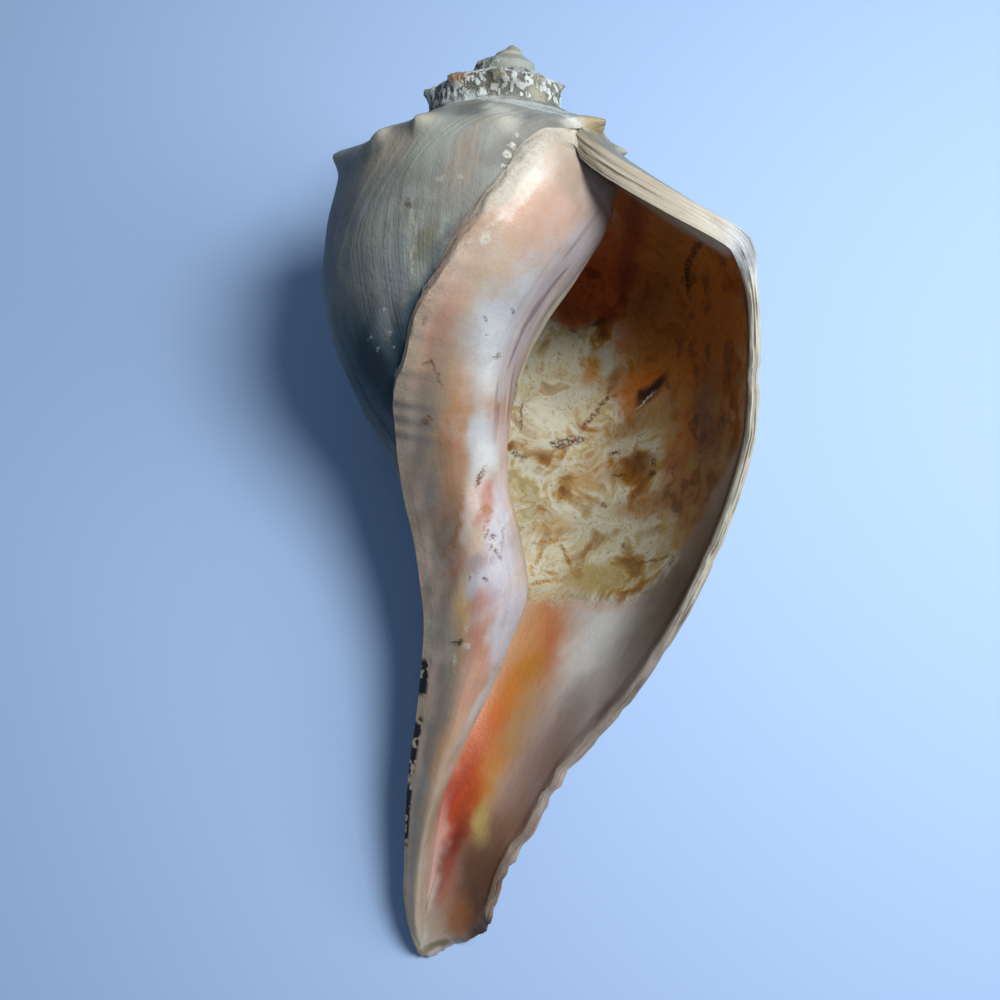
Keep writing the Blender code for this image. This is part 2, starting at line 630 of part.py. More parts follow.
def shell_mesh():
    """The shell's mesh, in metres."""
    vertices = []
    faces = []
    rim = add_outside(vertices, faces)
    add_inside(vertices, faces, rim)
    points = lie_down(np.array(vertices)) * METRES
    mesh = bpy.data.meshes.new(NAME)
    mesh.from_pydata(points.tolist(), [], faces)
    work = bmesh.new()
    work.from_mesh(mesh)
    bmesh.ops.recalc_face_normals(work, faces=work.faces)
    work.to_mesh(mesh)
    work.free()
    mesh.shade_smooth()
    mesh.set_sharp_from_angle(angle=math.radians(SHARP_ANGLE))
    return mesh


for item in list(bpy.data.objects):
    bpy.data.objects.remove(item, do_unlink=True)
shell = bpy.data.objects.new(NAME, shell_mesh())
shell.data.materials.append(shell_material())
bpy.context.scene.collection.objects.link(shell)
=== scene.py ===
import math

import bmesh
import bpy
import numpy as np
from mathutils import Matrix, Vector, noise


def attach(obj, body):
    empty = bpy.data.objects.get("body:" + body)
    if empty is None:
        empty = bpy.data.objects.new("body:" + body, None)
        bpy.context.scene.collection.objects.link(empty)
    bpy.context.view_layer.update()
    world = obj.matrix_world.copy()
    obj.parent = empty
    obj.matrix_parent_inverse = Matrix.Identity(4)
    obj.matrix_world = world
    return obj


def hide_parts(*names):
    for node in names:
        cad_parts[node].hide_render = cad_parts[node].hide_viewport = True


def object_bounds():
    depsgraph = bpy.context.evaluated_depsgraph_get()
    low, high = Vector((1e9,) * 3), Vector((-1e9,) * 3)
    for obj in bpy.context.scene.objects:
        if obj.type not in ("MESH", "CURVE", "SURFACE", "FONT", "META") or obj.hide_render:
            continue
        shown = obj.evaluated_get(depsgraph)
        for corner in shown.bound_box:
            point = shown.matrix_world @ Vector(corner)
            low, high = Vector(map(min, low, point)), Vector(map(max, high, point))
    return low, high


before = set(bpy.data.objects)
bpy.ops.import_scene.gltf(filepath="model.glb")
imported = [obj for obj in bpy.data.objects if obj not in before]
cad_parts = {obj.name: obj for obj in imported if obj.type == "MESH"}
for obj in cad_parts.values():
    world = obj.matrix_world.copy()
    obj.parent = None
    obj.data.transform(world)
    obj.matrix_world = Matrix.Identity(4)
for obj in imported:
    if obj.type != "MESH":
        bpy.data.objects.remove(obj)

cad_box = [list(corner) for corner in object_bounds()]


# The coiled wall. The animal wound one tube of lime around an axis and added to it at the
# lip, so each cross-section is the same outline, smaller by one ratio for each turn back.

# Lengths are millimetres, depths run from the apex down the axis, and growth is in degrees
# back from the lip. A part is a depth divided by the shoulder radius at its growth.
TURN = 360.0
TURNS = 4
GROWTH_PER_TURN = 2.12
SHOULDER_RADIUS = 48.0
LIP_AZIMUTH = 12.0
APEX_DEPTH = 0.2
LIP_REACH = 43.0
LIP_REACH_FADE = 70.0
SUTURE_DEPTH = 0.44
SUTURE_RADIUS = 0.475
NEXT_SUTURE = SUTURE_DEPTH * GROWTH_PER_TURN
SHOULDER_DEPTH = 0.777
# Growth, then the part at which the whorl starts: older whorls are stepped, the last is not
SUTURE_PARTS = [
    (-43, 0.39), (-20, 0.41), (10, 0.435), (40, 0.465), (110, 0.5), (200, 0.53), (350, 0.54),
    (700, 0.51), (1100, 0.46), (1440, 0.4)]
# Growth, then how much lower than elsewhere the shoulder is, as parts
SHOULDER_DIPS = [
    (-43, -0.035), (0, -0.03), (25, 0.01), (80, 0.02), (185, 0.0), (207, 0.08), (224, 0.12),
    (238, 0.08), (252, 0.04), (290, 0.05), (322, -0.02), (345, 0.02), (370, 0.07), (400, 0.07),
    (450, 0.0), (1440, 0.0)]
DIP_END = 1.5
YOUNG_OUTLINE = [
    (SUTURE_DEPTH, SUTURE_RADIUS), (0.52, 0.61), (0.66, 0.82), (SHOULDER_DEPTH, 0.965),
    (0.86, 0.99), (NEXT_SUTURE, 0.997), (1.25, 1.04), (1.5, 1.045), (1.9, 0.95), (2.3, 0.72),
    (2.65, 0.45), (2.93, 0.35), (3.3, 0.225), (3.85, 0.135), (4.2, 0.14), (4.8, 0.175),
    (5.4, 0.165), (6.0, 0.12)]
LIP_OUTLINE = [
    (SUTURE_DEPTH, SUTURE_RADIUS), (0.52, 0.6), (0.66, 0.845), (SHOULDER_DEPTH, 1.06),
    (0.88, 1.11), (1.25, 1.18), (1.5, 1.198), (1.8, 1.156), (2.25, 1.02), (2.7, 0.795),
    (3.05, 0.56), (3.35, 0.42), (3.6, 0.3), (3.9, 0.24), (6.0, 0.15)]
# Below the next suture, where later whorls hide the older one
HIDDEN_OUTLINE = YOUNG_OUTLINE[:6] + [
    (1.25, 1.03), (1.5, 1.0), (1.9, 0.8), (2.2, 0.58), (2.5, 0.42), (2.8, 0.3), (3.3, 0.2),
    (6.0, 0.1)]
# Growth at which the lip's flare has died away, and over which a later whorl hides the wall
FLARE_END = 200.0
HIDDEN_START = 230.0
HIDDEN_END = 320.0
# The canal bends to the right past this depth
BEND_START = 60.0
BEND_LENGTH = 130.0
BEND = 5.2
# The back is a little flat where it lies on the ground
REST_DOWN = np.array([0.0675952, -0.246999, -0.9666553])
REST_DEPTH = 54.2
REST_ROUNDING = 0.4
REST_LEAN = 0.6
REST_LEAN_FADE = 0.2
REST_END = 3.0
REST_FADE = 0.35
# Share of the lower edge, growth, depth: the canal's end, then the edge of the inner lip
LOWER_EDGE = [
    (0.0, 0, 182), (0.03, 30, 187), (0.07, 75, 192), (0.11, 120, 195), (0.15, 150, 193),
    (0.19, 172, 186), (0.25, 182, 171), (0.32, 188, 153), (0.39, 192, 137), (0.46, 196, 122),
    (0.52, 197, 110), (0.58, 199, 98), (0.64, 206, 85.5), (0.69, 222, 76), (0.75, 244, 65),
    (0.80, 257, 54.5), (0.84, 269, 45), (0.88, 278, 37), (0.91, 286, 31.2), (0.94, 292, 25.8),
    (0.965, 302, 22.2)]
LEAN_DEPTH = 0.9
LEAN_START = 0.5
LEAN_FULL = 0.9
# Rows of points down a column of the wall, and the columns in a turn, closer at the lip
SPIRE_ROWS = np.concatenate([
    np.linspace(SUTURE_DEPTH, 0.66, 7), np.linspace(0.685, 0.88, 10), [0.907, NEXT_SUTURE]])
SIDE_ROWS = 84
FULL_ROOM = 1.2
NEAR_LIP = 12.0
COLUMN_ANGLES = np.concatenate([
    np.arange(0.0, NEAR_LIP, 0.5), np.linspace(NEAR_LIP, TURN, 263)[:-1]])
COLUMNS = len(COLUMN_ANGLES)
# Knobs on the shoulder: growth at each, and how high each is beside a full one
KNOB_PLACES = [
    7.2, 43.0, 79.0, 115.0, 151.0, 188.0, 236.0, 252.0, 284.0, 325.0, 368.0, 409.0, 447.0,
    485.0, 521.0, 557.0, 597.0, 634.0, 672.0, 711.0, 749.0, 787.0, 825.0, 863.0, 901.0, 939.0,
    977.0, 1015.0, 1053.0, 1440.0]
KNOB_HEIGHTS = [
    0.1, 0.9, 1.0, 1.0, 1.0, 1.0, 0.8, 0.9, 0.35, 1.9, 1.9, 1.6, 1.5, 1.5, 1.5, 1.6, 1.6, 1.2,
    1.3, 1.5, 1.4, 1.3, 1.2, 1.1, 1.0, 0.8, 0.6, 0.3, 0.0, 0.0]
KNOB_STEP = 36.0
# Parts over which a ramp forgets the knobs that it starts on
COVERED_FADE = 0.15


def smooth(value):
    value = np.clip(value, 0.0, 1.0)
    return value * value * (3.0 - 2.0 * value)


def hermite(t, width, start, end, start_slope, end_slope):
    return (start * (1 + 2 * t) * (1 - t) ** 2 + start_slope * width * t * (1 - t) ** 2
            + end * t * t * (3 - 2 * t) + end_slope * width * t * t * (t - 1))


def through(points, value):
    """A smooth curve through the points, which never swings past them."""
    xs = np.array([point[0] for point in points], dtype=float)
    ys = np.array([point[1] for point in points], dtype=float)
    value = np.clip(np.asarray(value, dtype=float), xs[0], xs[-1])
    steps = np.diff(xs)
    slopes = np.diff(ys) / steps
    tangents = np.zeros(len(xs))
    tangents[0] = slopes[0]
    tangents[-1] = slopes[-1]
    for i in range(1, len(xs) - 1):
        if slopes[i - 1] * slopes[i] > 0.0:
            before = 2.0 * steps[i] + steps[i - 1]
            after = steps[i] + 2.0 * steps[i - 1]
            tangents[i] = (before + after) / (before / slopes[i - 1] + after / slopes[i])
    cell = np.clip(np.searchsorted(xs, value, side="right") - 1, 0, len(xs) - 2)
    t = (value - xs[cell]) / steps[cell]
    return hermite(t, steps[cell], ys[cell], ys[cell + 1], tangents[cell], tangents[cell + 1])


def shoulder(growth):
    return SHOULDER_RADIUS * GROWTH_PER_TURN ** (-np.asarray(growth, dtype=float) / TURN)


def place(radius, azimuth, depth):
    """Where a point round the axis stands, with the bend of the canal."""
    radius, azimuth, depth = np.broadcast_arrays(radius, azimuth, depth)
    angle = np.radians(azimuth)
    shift = BEND * (np.maximum(depth - BEND_START, 0.0) / BEND_LENGTH) ** 2
    return np.stack([radius * np.cos(angle) + shift, -depth, radius * np.sin(angle)], axis=-1)


def real_part(growth, row):
    """Where the outline has its point row, after the ramp and the shoulder have moved."""
    start = through(SUTURE_PARTS, growth)
    ridge = SHOULDER_DEPTH + through(SHOULDER_DIPS, growth)
    ramp = start + (row - SUTURE_DEPTH) * (ridge - start) / (SHOULDER_DEPTH - SUTURE_DEPTH)
    side = ridge + (row - SHOULDER_DEPTH) * (DIP_END - ridge) / (DIP_END - SHOULDER_DEPTH)
    return np.where(row < SHOULDER_DEPTH, ramp, np.where(row < DIP_END, side, row))


def outline_row(growth, part):
    """The outline's point at a real part."""
    start = through(SUTURE_PARTS, growth)
    ridge = SHOULDER_DEPTH + through(SHOULDER_DIPS, growth)
    ramp = SUTURE_DEPTH + (part - start) * (SHOULDER_DEPTH - SUTURE_DEPTH) / (ridge - start)
    side = SHOULDER_DEPTH + (part - ridge) * (DIP_END - SHOULDER_DEPTH) / (DIP_END - ridge)
    return np.where(part < ridge, ramp, np.where(part < DIP_END, side, part))


def outline(growth, part):
    """The wall's distance from the axis, in shoulder radii."""
    growth = np.asarray(growth, dtype=float)
    row = outline_row(growth, part)
    flare = 1.0 - smooth(growth / FLARE_END)
    hidden = smooth((growth - HIDDEN_START) / (HIDDEN_END - HIDDEN_START))
    young = through(YOUNG_OUTLINE, row)
    young = young + (through(HIDDEN_OUTLINE, row) - young) * hidden
    radius = young + (through(LIP_OUTLINE, row) - young) * flare
    size = shoulder(growth)
    azimuth = LIP_AZIMUTH - growth
    over = place(size * radius, azimuth, size * part) @ REST_DOWN - REST_DEPTH
    over = 0.5 * (over + np.sqrt(over ** 2 + REST_ROUNDING ** 2))
    lean = REST_DOWN[0] * np.cos(np.radians(azimuth)) + REST_DOWN[2] * np.sin(np.radians(azimuth))
    share = smooth((lean - REST_LEAN) / REST_LEAN_FADE)
    share = share * (1.0 - smooth((part - REST_END) / REST_FADE))
    return radius - over * share / (size * np.maximum(lean, REST_LEAN))


def reach(growth):
    return LIP_REACH * np.exp(-np.asarray(growth, dtype=float) / LIP_REACH_FADE)


def lower_edge(share):
    """Growth and depth along the lower edge of the unwound wall."""
    end = TURN - LIP_REACH
    last = float(real_part(-LIP_REACH, SUTURE_DEPTH) * shoulder(-LIP_REACH))
    edge = LOWER_EDGE + [(1.0, end, last)]
    growth = through([(point[0], point[1]) for point in edge], share)
    depth = through([(point[0], point[2]) for point in edge], share)
    return growth, depth


def column(growth, count):
    """Growth and part of each point down one column of the unwound wall."""
    share = growth / TURN
    first = float(real_part(growth - reach(growth), SUTURE_DEPTH))
    if growth < TURN:
        end, depth = lower_edge(share)
        last = float(depth + canal_end_wear(share)) / float(shoulder(end))
    else:
        end = growth - reach(growth - TURN)
        last = GROWTH_PER_TURN * float(real_part(end - TURN, SUTURE_DEPTH))
    ramp = real_part(growth, SPIRE_ROWS)
    ridge = float(real_part(growth, SHOULDER_DEPTH))
    parts = np.where(SPIRE_ROWS < SHOULDER_DEPTH,
                     first + (ramp - ramp[0]) * (ridge - first) / (ridge - ramp[0]), ramp)
    if count > len(SPIRE_ROWS):
        below = np.linspace(parts[-1], last, count - len(SPIRE_ROWS) + 1)
        room = smooth((last - NEXT_SUTURE) / FULL_ROOM)
        even = np.linspace(first, last, count)
        parts = even + (np.concatenate([parts, below[1:]]) - even) * room
    else:
        side = ridge + (parts - ridge) * (last - ridge) / (parts[-1] - ridge)
        parts = np.where(parts > ridge, side, parts)
    near = 1.0 - smooth((parts - parts[0]) / (LEAN_DEPTH - parts[0]))
    settled = last + (LEAN_DEPTH - last) * smooth((share - LEAN_START) / (LEAN_FULL - LEAN_START))
    far = smooth((parts - parts[0]) / (settled - parts[0]))
    return growth - reach(growth) * near + (end - growth) * far, parts


# The worn edge. The lip is the newest and thinnest lime, so waves have chipped its lower
# half and the end of the canal, and the whole edge is a little ragged.

# Each chip: its depth, its half width and how far it bites in
LIP_CHIPS = [
    (61.0, 2.5, 0.7), (97.0, 2.0, 0.5), (118.0, 1.6, 0.5), (131.0, 1.2, 0.6), (137.0, 1.5, 0.5),
    (145.5, 2.0, 1.5), (151.5, 1.4, 1.7), (155.0, 1.6, 0.5), (163.5, 2.2, 1.3), (168.5, 1.2, 1.2),
    (172.0, 1.5, 0.7), (178.5, 1.3, 0.8), (183.0, 1.2, 0.9)]
# Ragged layers: spacing, seed and height of each
LIP_RAGGED = ((1.3, 11, 0.22), (4.5, 12, 0.25))
CANAL_END_RAGGED = ((5.0, 3, 0.7), (2.0, 4, 0.4))
RAGGED_POINTS = 2000
CHIP_FADE = 6.0
CHIP_FADE_CURVE = 1.5
CHIP_BACK = 0.8
CHIP_INWARD = 0.55
CHIP_LEAST_RADIUS = 6.0
LEAST_WEAR = 0.25
UPPER_WEAR = 0.35
UPPER_WEAR_END = 110.0
UPPER_WEAR_FADE = 40.0
WEAR_START = 24.0
WEAR_EASE = 6.0
CANAL_END_SHARE = 0.11
CANAL_END_FADE = 0.05


def ragged(value, *layers):
    """Uneven heights along an edge."""
    value = np.asarray(value, dtype=float)
    total = 0.0
    for spacing, seed, height in layers:
        heights = np.random.default_rng(seed).uniform(-1.0, 1.0, RAGGED_POINTS)
        at = np.arange(RAGGED_POINTS) - RAGGED_POINTS / 2
        total = total + height * np.interp(value / spacing, at, heights)
    return total


def canal_end_wear(share):
    rough = ragged(np.asarray(share, dtype=float) * TURN, *CANAL_END_RAGGED)
    return rough * (1.0 - smooth((share - CANAL_END_SHARE) / CANAL_END_FADE))


def lip_wear(depth):
    depth = np.asarray(depth, dtype=float)
    lower = smooth((depth - UPPER_WEAR_END) / UPPER_WEAR_FADE)
    bite = ragged(depth, *LIP_RAGGED) * (UPPER_WEAR + (1.0 - UPPER_WEAR) * lower) + LEAST_WEAR
    for at, half, deep in LIP_CHIPS:
        bite = bite + deep * np.sqrt(np.clip(1.0 - np.abs((depth - at) / half), 0.0, 1.0))
    return bite * smooth((depth - WEAR_START) / WEAR_EASE)


def worn(growth_from_lip, growth, radius, depth):
    """Growth and radius of a point near the lip, once the edge is worn back."""
    near = np.clip(1.0 - growth_from_lip / CHIP_FADE, 0.0, 1.0) ** CHIP_FADE_CURVE
    bite = lip_wear(depth) * near
    back = np.degrees(bite / np.maximum(radius, CHIP_LEAST_RADIUS)) * CHIP_BACK
    return growth + back, radius - CHIP_INWARD * bite


# The mouth. Inside the lip the wall is smooth, and the inner lip is a glaze that spreads
# over the whorl before it, with a raised edge. A fold runs down the pillar into the canal.
# Thickness of the wall, of the lip and of the glaze
WALL = 3.0
LIP_WALL = 2.0
LIP_WALL_FADE = 30.0
LIP_TOP_WALL = 1.7
LIP_TOP_END = 0.95
LIP_TOP_FADE = 0.2
GLAZE = 1.1
GLAZE_EDGE = 1.6
GLAZE_SLOPE = 1.8
GLAZE_RAGGED = ((3.0, 21, 0.45), (7.0, 22, 0.45))
GLAZE_LOWER_RAGGED = 0.25
GLAZE_UPPER_START = 0.6
GLAZE_UPPER_EASE = 0.1
CREST_START = 0.11
CREST_EASE = 0.12
CANAL_EDGE_INSET = 1.5
LIP_END_INSET = 0.03
PILLAR_OUTLINE = [
    (0.4, 0.2), (2.3, 0.215), (2.5, 0.21), (2.79, 0.2), (3.04, 0.175), (3.27, 0.145),
    (3.52, 0.115), (3.8, 0.09)]
PILLAR_BLEND = 1.5
PILLAR_LEAST = 0.25
TUBE_TIP = 3.62
TUBE_TIP_INSIDE = 2.8
TUBE_TIP_LENGTH = 0.12
TUBE_END = 450.0
TUBE_GAP = 0.4
CORNER_GAP = 0.2
# Share of the edge, then x, depth and height of the front, the fold and the turn inside
INNER_LIP = [
    (0.15, (1.9, 189.3, -1.6), (2.1, 184.8, -2.8), (2.2, 180.6, -4.2)),
    (0.19, (0.5, 182.5, 1.2), (1.9, 177.8, -1.6), (2.1, 173.2, -3.0)),
    (0.25, (0.0, 168, 4.2), (2.0, 163.5, -0.1), (2.6, 160, -3.1)),
    (0.32, (1.6, 151, 6.2), (5.4, 147.5, 0.9), (5.2, 145.5, -3.6)),
    (0.39, (4.4, 136, 8.2), (10.0, 133, 2.0), (9.5, 132, -4.4)),
    (0.46, (6.0, 122, 9.5), (13.3, 121, 3.0), (12.0, 121, -4.4)),
    (0.52, (6.0, 110, 10.2), (15.6, 110, 4.0), (13.0, 110, -4.2)),
    (0.58, (2.5, 98, 10.6), (12.5, 98, 5.0), (11.3, 98.5, -3.8)),
    (0.64, (-1.5, 86.5, 11.8), (8.6, 87, 6.0), (8.6, 88, -3.0)),
    (0.69, (-2.5, 77.5, 14.4), (7.5, 78, 7.0), (7.7, 80, -2.0)),
    (0.75, (-2.5, 66.5, 19.0), (7.6, 68, 8.5), (8.2, 70, -1.0)),
    (0.80, (0.0, 56.5, 23.8), (9.4, 59, 10.0), (10.2, 62, 0.0)),
    (0.84, (4.3, 48, 25.8), (12.6, 51, 11.5), (13.4, 54, 0.0)),
    (0.88, (7.8, 40.5, 26.2), (16.8, 44, 12.2), (17.0, 47, 0.0)),
    (0.91, (10.8, 35, 25.4), (19.8, 39, 12.4), (19.2, 42, 0.0)),
    (0.94, (13.2, 30, 24.0), (21.8, 34.2, 12.6), (21.6, 37, 0.8)),
    (0.97, (14.6, 26.3, 21.8), (19.5, 29.2, 14.8), (23.4, 32, 2.5))]
# Share of the inner edge, then the share of the tube's depth at which it stands
TUBE_SHARES = [
    (0.15, 1.0), (0.25, 0.93), (0.32, 0.87), (0.39, 0.81), (0.46, 0.745), (0.52, 0.67),
    (0.58, 0.59), (0.64, 0.515), (0.69, 0.45), (0.75, 0.39), (0.80, 0.33), (0.84, 0.265),
    (0.88, 0.205), (0.91, 0.16), (0.94, 0.11), (0.97, 0.06), (1.0, 0.0)]
CANAL_SHARE = 0.15
CANAL_EASE = 0.1
CANAL_WEAR_RATE = 15.0
FIRST_SECTION = 90.0
HALF_SECTION = 50.0
HALF_START = 0.2
HALF_EASE = 0.2
# How far into the mouth the six guide curves of the inner lip stand
RING_SHARES = (0.0, 0.3, 0.55, 0.7, 0.85, 1.0)
RING_SPACING = 1.2
RING_LEAN = 1.5
CORNER_PULLS = ((0.965, False), (0.965, False), (0.955, True), (0.955, True))
CORNER_PULL = 0.7
MOUTH_RINGS = 60
TUBE_RINGS = 22
CORNER_TRIES = 600
SLOPE_STEP = 0.01
# The cut face of the lip: its layers stand out by these heights, from the outside in
LIP_LAYERS = (0.30, 0.52, 0.38, 0.60, 0.36, 0.55, 0.22)
LAYER_UNEVEN = 0.7
LAYER_GRIT = 0.12
FULL_LAYER_WALL = 2.0
BEHIND_RINGS = (2, 3)
BEHIND_COLUMN = 6
CREASE_ROUNDS = 8


def inner_face(growth, part):
    """Radius and depth of the wall's inner face."""
    size = shoulder(growth)
    rise = outline(growth, part + SLOPE_STEP) - outline(growth, part - SLOPE_STEP)
    slope = rise / (2.0 * SLOPE_STEP)
    length = np.sqrt(1.0 + slope ** 2)
    edge = np.exp(-np.maximum(growth, 0.0) / LIP_WALL_FADE)
    thick = (WALL + (LIP_WALL - WALL) * edge) * np.sqrt(size / SHOULDER_RADIUS)
    thick = thick + LIP_TOP_WALL * edge ** 2 * smooth((LIP_TOP_END - part) / LIP_TOP_FADE)
    return size * outline(growth, part) - thick / length, size * part + thick * slope / length


def inner_wall(growth, depth):
    """Radius of the mouth's inner side: the pillar, or the glazed whorl before it."""
    before = shoulder(growth + TURN)
    whorl = before * outline(growth + TURN, depth / before) + GLAZE
    size = shoulder(growth)
    pillar = size * through(PILLAR_OUTLINE, depth / size)
    gap = np.clip(0.5 + 0.5 * (whorl - pillar) / PILLAR_BLEND, 0.0, 1.0)
    return pillar + (whorl - pillar) * gap + PILLAR_BLEND * gap * (1.0 - gap) * 0.5


def tube_tip(growth):
    inside = smooth((growth - FLARE_END) / (HIDDEN_END - FLARE_END))
    return TUBE_TIP + (TUBE_TIP_INSIDE - TUBE_TIP) * inside


def upper_corner(growth):
    """The part at which the wall's inner face clears the whorl before it."""
    parts = np.linspace(float(real_part(growth, SUTURE_DEPTH)), SHOULDER_DEPTH, CORNER_TRIES)
    growths = np.full(parts.shape, float(growth))
    radius, depth = inner_face(growths, parts)
    clear = radius - inner_wall(growths, depth) - CORNER_GAP
    first = int(np.argmax(clear > 0.0))
    if first == 0:
        return parts[0]
    share = clear[first - 1] / (clear[first - 1] - clear[first])
    return parts[first - 1] + (parts[first] - parts[first - 1]) * share


def across(stations, points, value):
    """A smooth curve from station to station, at one value."""
    cell = int(np.searchsorted(stations, value, side="right")) - 1
    cell = min(max(cell, 0), len(stations) - 2)
    width = stations[cell + 1] - stations[cell]

    def slope(i):
        low = max(i - 1, 0)
        high = min(i + 1, len(stations) - 1)
        return (points[high] - points[low]) / (stations[high] - stations[low])

    t = (value - stations[cell]) / width
    return hermite(t, width, points[cell], points[cell + 1], slope(cell), slope(cell + 1))


def guide(which, shares):
    axes = []
    for axis in range(3):
        axes.append(through([(row[0], row[1 + which][axis]) for row in INNER_LIP], shares))
    return np.stack([axes[0], -axes[1], axes[2]], axis=-1)


def tube_section(growth, steps, shares):
    """The outer and the inner side of the tube behind the mouth."""
    corner = upper_corner(growth)
    parts = corner + (float(tube_tip(growth)) - corner) * steps
    radius, depth = inner_face(np.full(parts.shape, float(growth)), parts)
    tip_depth = depth[-1] + TUBE_TIP_LENGTH * float(shoulder(growth))
    lower = depth[0] + (tip_depth - depth[0]) * through(TUBE_SHARES, shares)
    inner = inner_wall(np.full(lower.shape, float(growth)), lower)
    inner = np.minimum(inner, np.interp(lower, depth, radius) - TUBE_GAP)
    inner = np.maximum(inner, PILLAR_LEAST)
    tip_radius = (float(np.interp(CANAL_SHARE, shares, inner)) + radius[-1]) / 2.0
    inner = tip_radius + (inner - tip_radius) * smooth((shares - CANAL_SHARE) / CANAL_EASE)
    turn = np.clip(shares / CANAL_SHARE, 0.0, 1.0) * math.pi / 2
    canal = shares < CANAL_SHARE
    lower = np.where(canal, depth[-1] + (tip_depth - depth[-1]) * np.sin(turn), lower)
    inner = np.where(canal, tip_radius + (radius[-1] - tip_radius) * np.cos(turn), inner)
    azimuth = LIP_AZIMUTH - growth
    return place(radius, azimuth, depth), place(inner, azimuth, lower)


def mouth_side(share, steps):
    """The lip's inner side at a share of the way into the mouth."""
    growth = FIRST_SECTION * share ** RING_SPACING
    lean = LIP_REACH * (1.0 - share) ** RING_LEAN
    corner = upper_corner(growth - lean)
    lip_end = float(lower_edge(0.0)[1]) / SHOULDER_RADIUS - LIP_END_INSET
    end = lip_end + (float(tube_tip(growth)) - lip_end) * share
    parts = corner + (end - corner) * steps
    growths = growth - lean * (1.0 - smooth((parts - corner) / (LEAN_DEPTH - corner)))
    radius, depth = inner_face(growths, parts)
    growths, radius = worn(growth, growths, radius, depth)
    return place(radius, LIP_AZIMUTH - growths, depth), float(growths[-1]), float(depth[-1])


def canal_floor(share, lip_growth, lip_depth, inner, shares):
    """Lead the start of the inner curve along the canal's floor to the lip's end."""
    base = inner[np.argmin(np.abs(shares - CANAL_SHARE))]
    axis = float(place(0.0, 0.0, -base[1])[0])
    base_growth = (LIP_AZIMUTH - math.degrees(math.atan2(base[2], base[0] - axis))) % TURN
    base_part = -base[1] / float(shoulder(base_growth))
    own = inner_face(np.array([base_growth]), np.array([base_part]))[0][0]
    inset = math.hypot(base[0] - axis, base[2]) / own
    low = shares < CANAL_SHARE
    t = shares[low] / CANAL_SHARE
    growth = lip_growth + (base_growth - lip_growth) * t
    ends = lower_edge(0.0)[1] * (1 - t) + lower_edge(CANAL_SHARE)[1] * t
    bulge = lower_edge(shares[low])[1] - ends
    depth = lip_depth + (-base[1] - lip_depth) * t + bulge * (1.0 - share) ** 2
    depth = depth + canal_end_wear(shares[low]) * max(0.0, 1.0 - share * CANAL_WEAR_RATE)
    radius = inner_face(growth, depth / shoulder(growth))[0]
    inner[low] = place(radius * (1.0 + (inset - 1.0) * smooth(t)), LIP_AZIMUTH - growth, depth)


def glaze_crest(shares):
    """The raised edge of the inner lip's glaze."""
    growth, depth = lower_edge(shares)
    radius = shoulder(growth) * outline(growth, depth / shoulder(growth))
    azimuth = LIP_AZIMUTH - growth
    raised = smooth((shares - CREST_START) / CREST_EASE)
    upper = smooth((shares - GLAZE_UPPER_START) / GLAZE_UPPER_EASE)
    wobble = ragged(shares * TURN, *GLAZE_RAGGED)
    wobble = wobble * (GLAZE_LOWER_RAGGED + (1.0 - GLAZE_LOWER_RAGGED) * upper)
    lift = -LIP_WALL + (GLAZE_EDGE + 0.25 * wobble + LIP_WALL) * raised
    edge = place(radius, azimuth, depth)
    crest = place(radius + lift, azimuth, depth - CANAL_EDGE_INSET * (1.0 - raised))
    along = np.gradient(edge, axis=0)
    along = along / np.linalg.norm(along, axis=1)[:, None]
    turn = np.radians(azimuth)
    outward = np.stack([np.cos(turn), np.zeros(len(turn)), np.sin(turn)], axis=-1)
    return crest + np.cross(along, outward) * ((GLAZE_SLOPE + wobble) * raised)[:, None]


def into_corner(curve, corner, start, shares, keep_clear):
    """Pull the end of a curve into the mouth's upper corner."""
    near = smooth((shares - start) / (1.0 - start)) * CORNER_PULL
    curve = curve + (corner - curve) * near[:, None]
    if not keep_clear:
        return curve
    azimuth = np.degrees(np.arctan2(curve[:, 2], curve[:, 0]))
    radius = np.hypot(curve[:, 0], curve[:, 2])
    least = inner_wall(LIP_AZIMUTH - azimuth, -curve[:, 1])
    grow = np.where(near > 0.0, np.maximum(radius, least) / radius, 1.0)
    return curve * np.stack([grow, np.ones(len(grow)), grow], axis=-1)


def inner_lip_curves(steps, shares):
    half = tube_section(HALF_SECTION, steps, shares)[1]
    first = tube_section(FIRST_SECTION, steps, shares)[1]
    curves = [glaze_crest(shares), guide(0, shares), guide(1, shares), guide(2, shares)]
    clear = smooth((shares - HALF_START) / HALF_EASE)[:, None]
    half = half * clear + (curves[3] + first) / 2.0 * (1.0 - clear)
    for i, (start, keep_clear) in enumerate(CORNER_PULLS):
        corner = mouth_side(RING_SHARES[i], steps)[0][0]
        curves[i] = into_corner(curves[i], corner, start, shares, keep_clear)
    return curves + [half, first]


def zip_faces(left, right, left_keys, right_keys):
    """Triangles between two lines that differ in their number of points."""
    faces = []
    i = 0
    j = 0
    while i < len(left) - 1 or j < len(right) - 1:
        if j == len(right) - 1 or (i < len(left) - 1 and left_keys[i + 1] <= right_keys[j + 1]):
            faces.append((left[i], left[i + 1], right[j]))
            i += 1
        else:
            faces.append((left[i], right[j + 1], right[j]))
            j += 1
    return faces


# The unwound sheet of wall, one skin from the apex over the lip into the tube. Outside
# points are kept as growth, part and outline, which the node tree below winds up; points
# of the mouth, the lip's cut face and the tube come placed.
APEX_RINGS = (0.3, 0.55, 0.8)
APEX_CURVE = 1.8

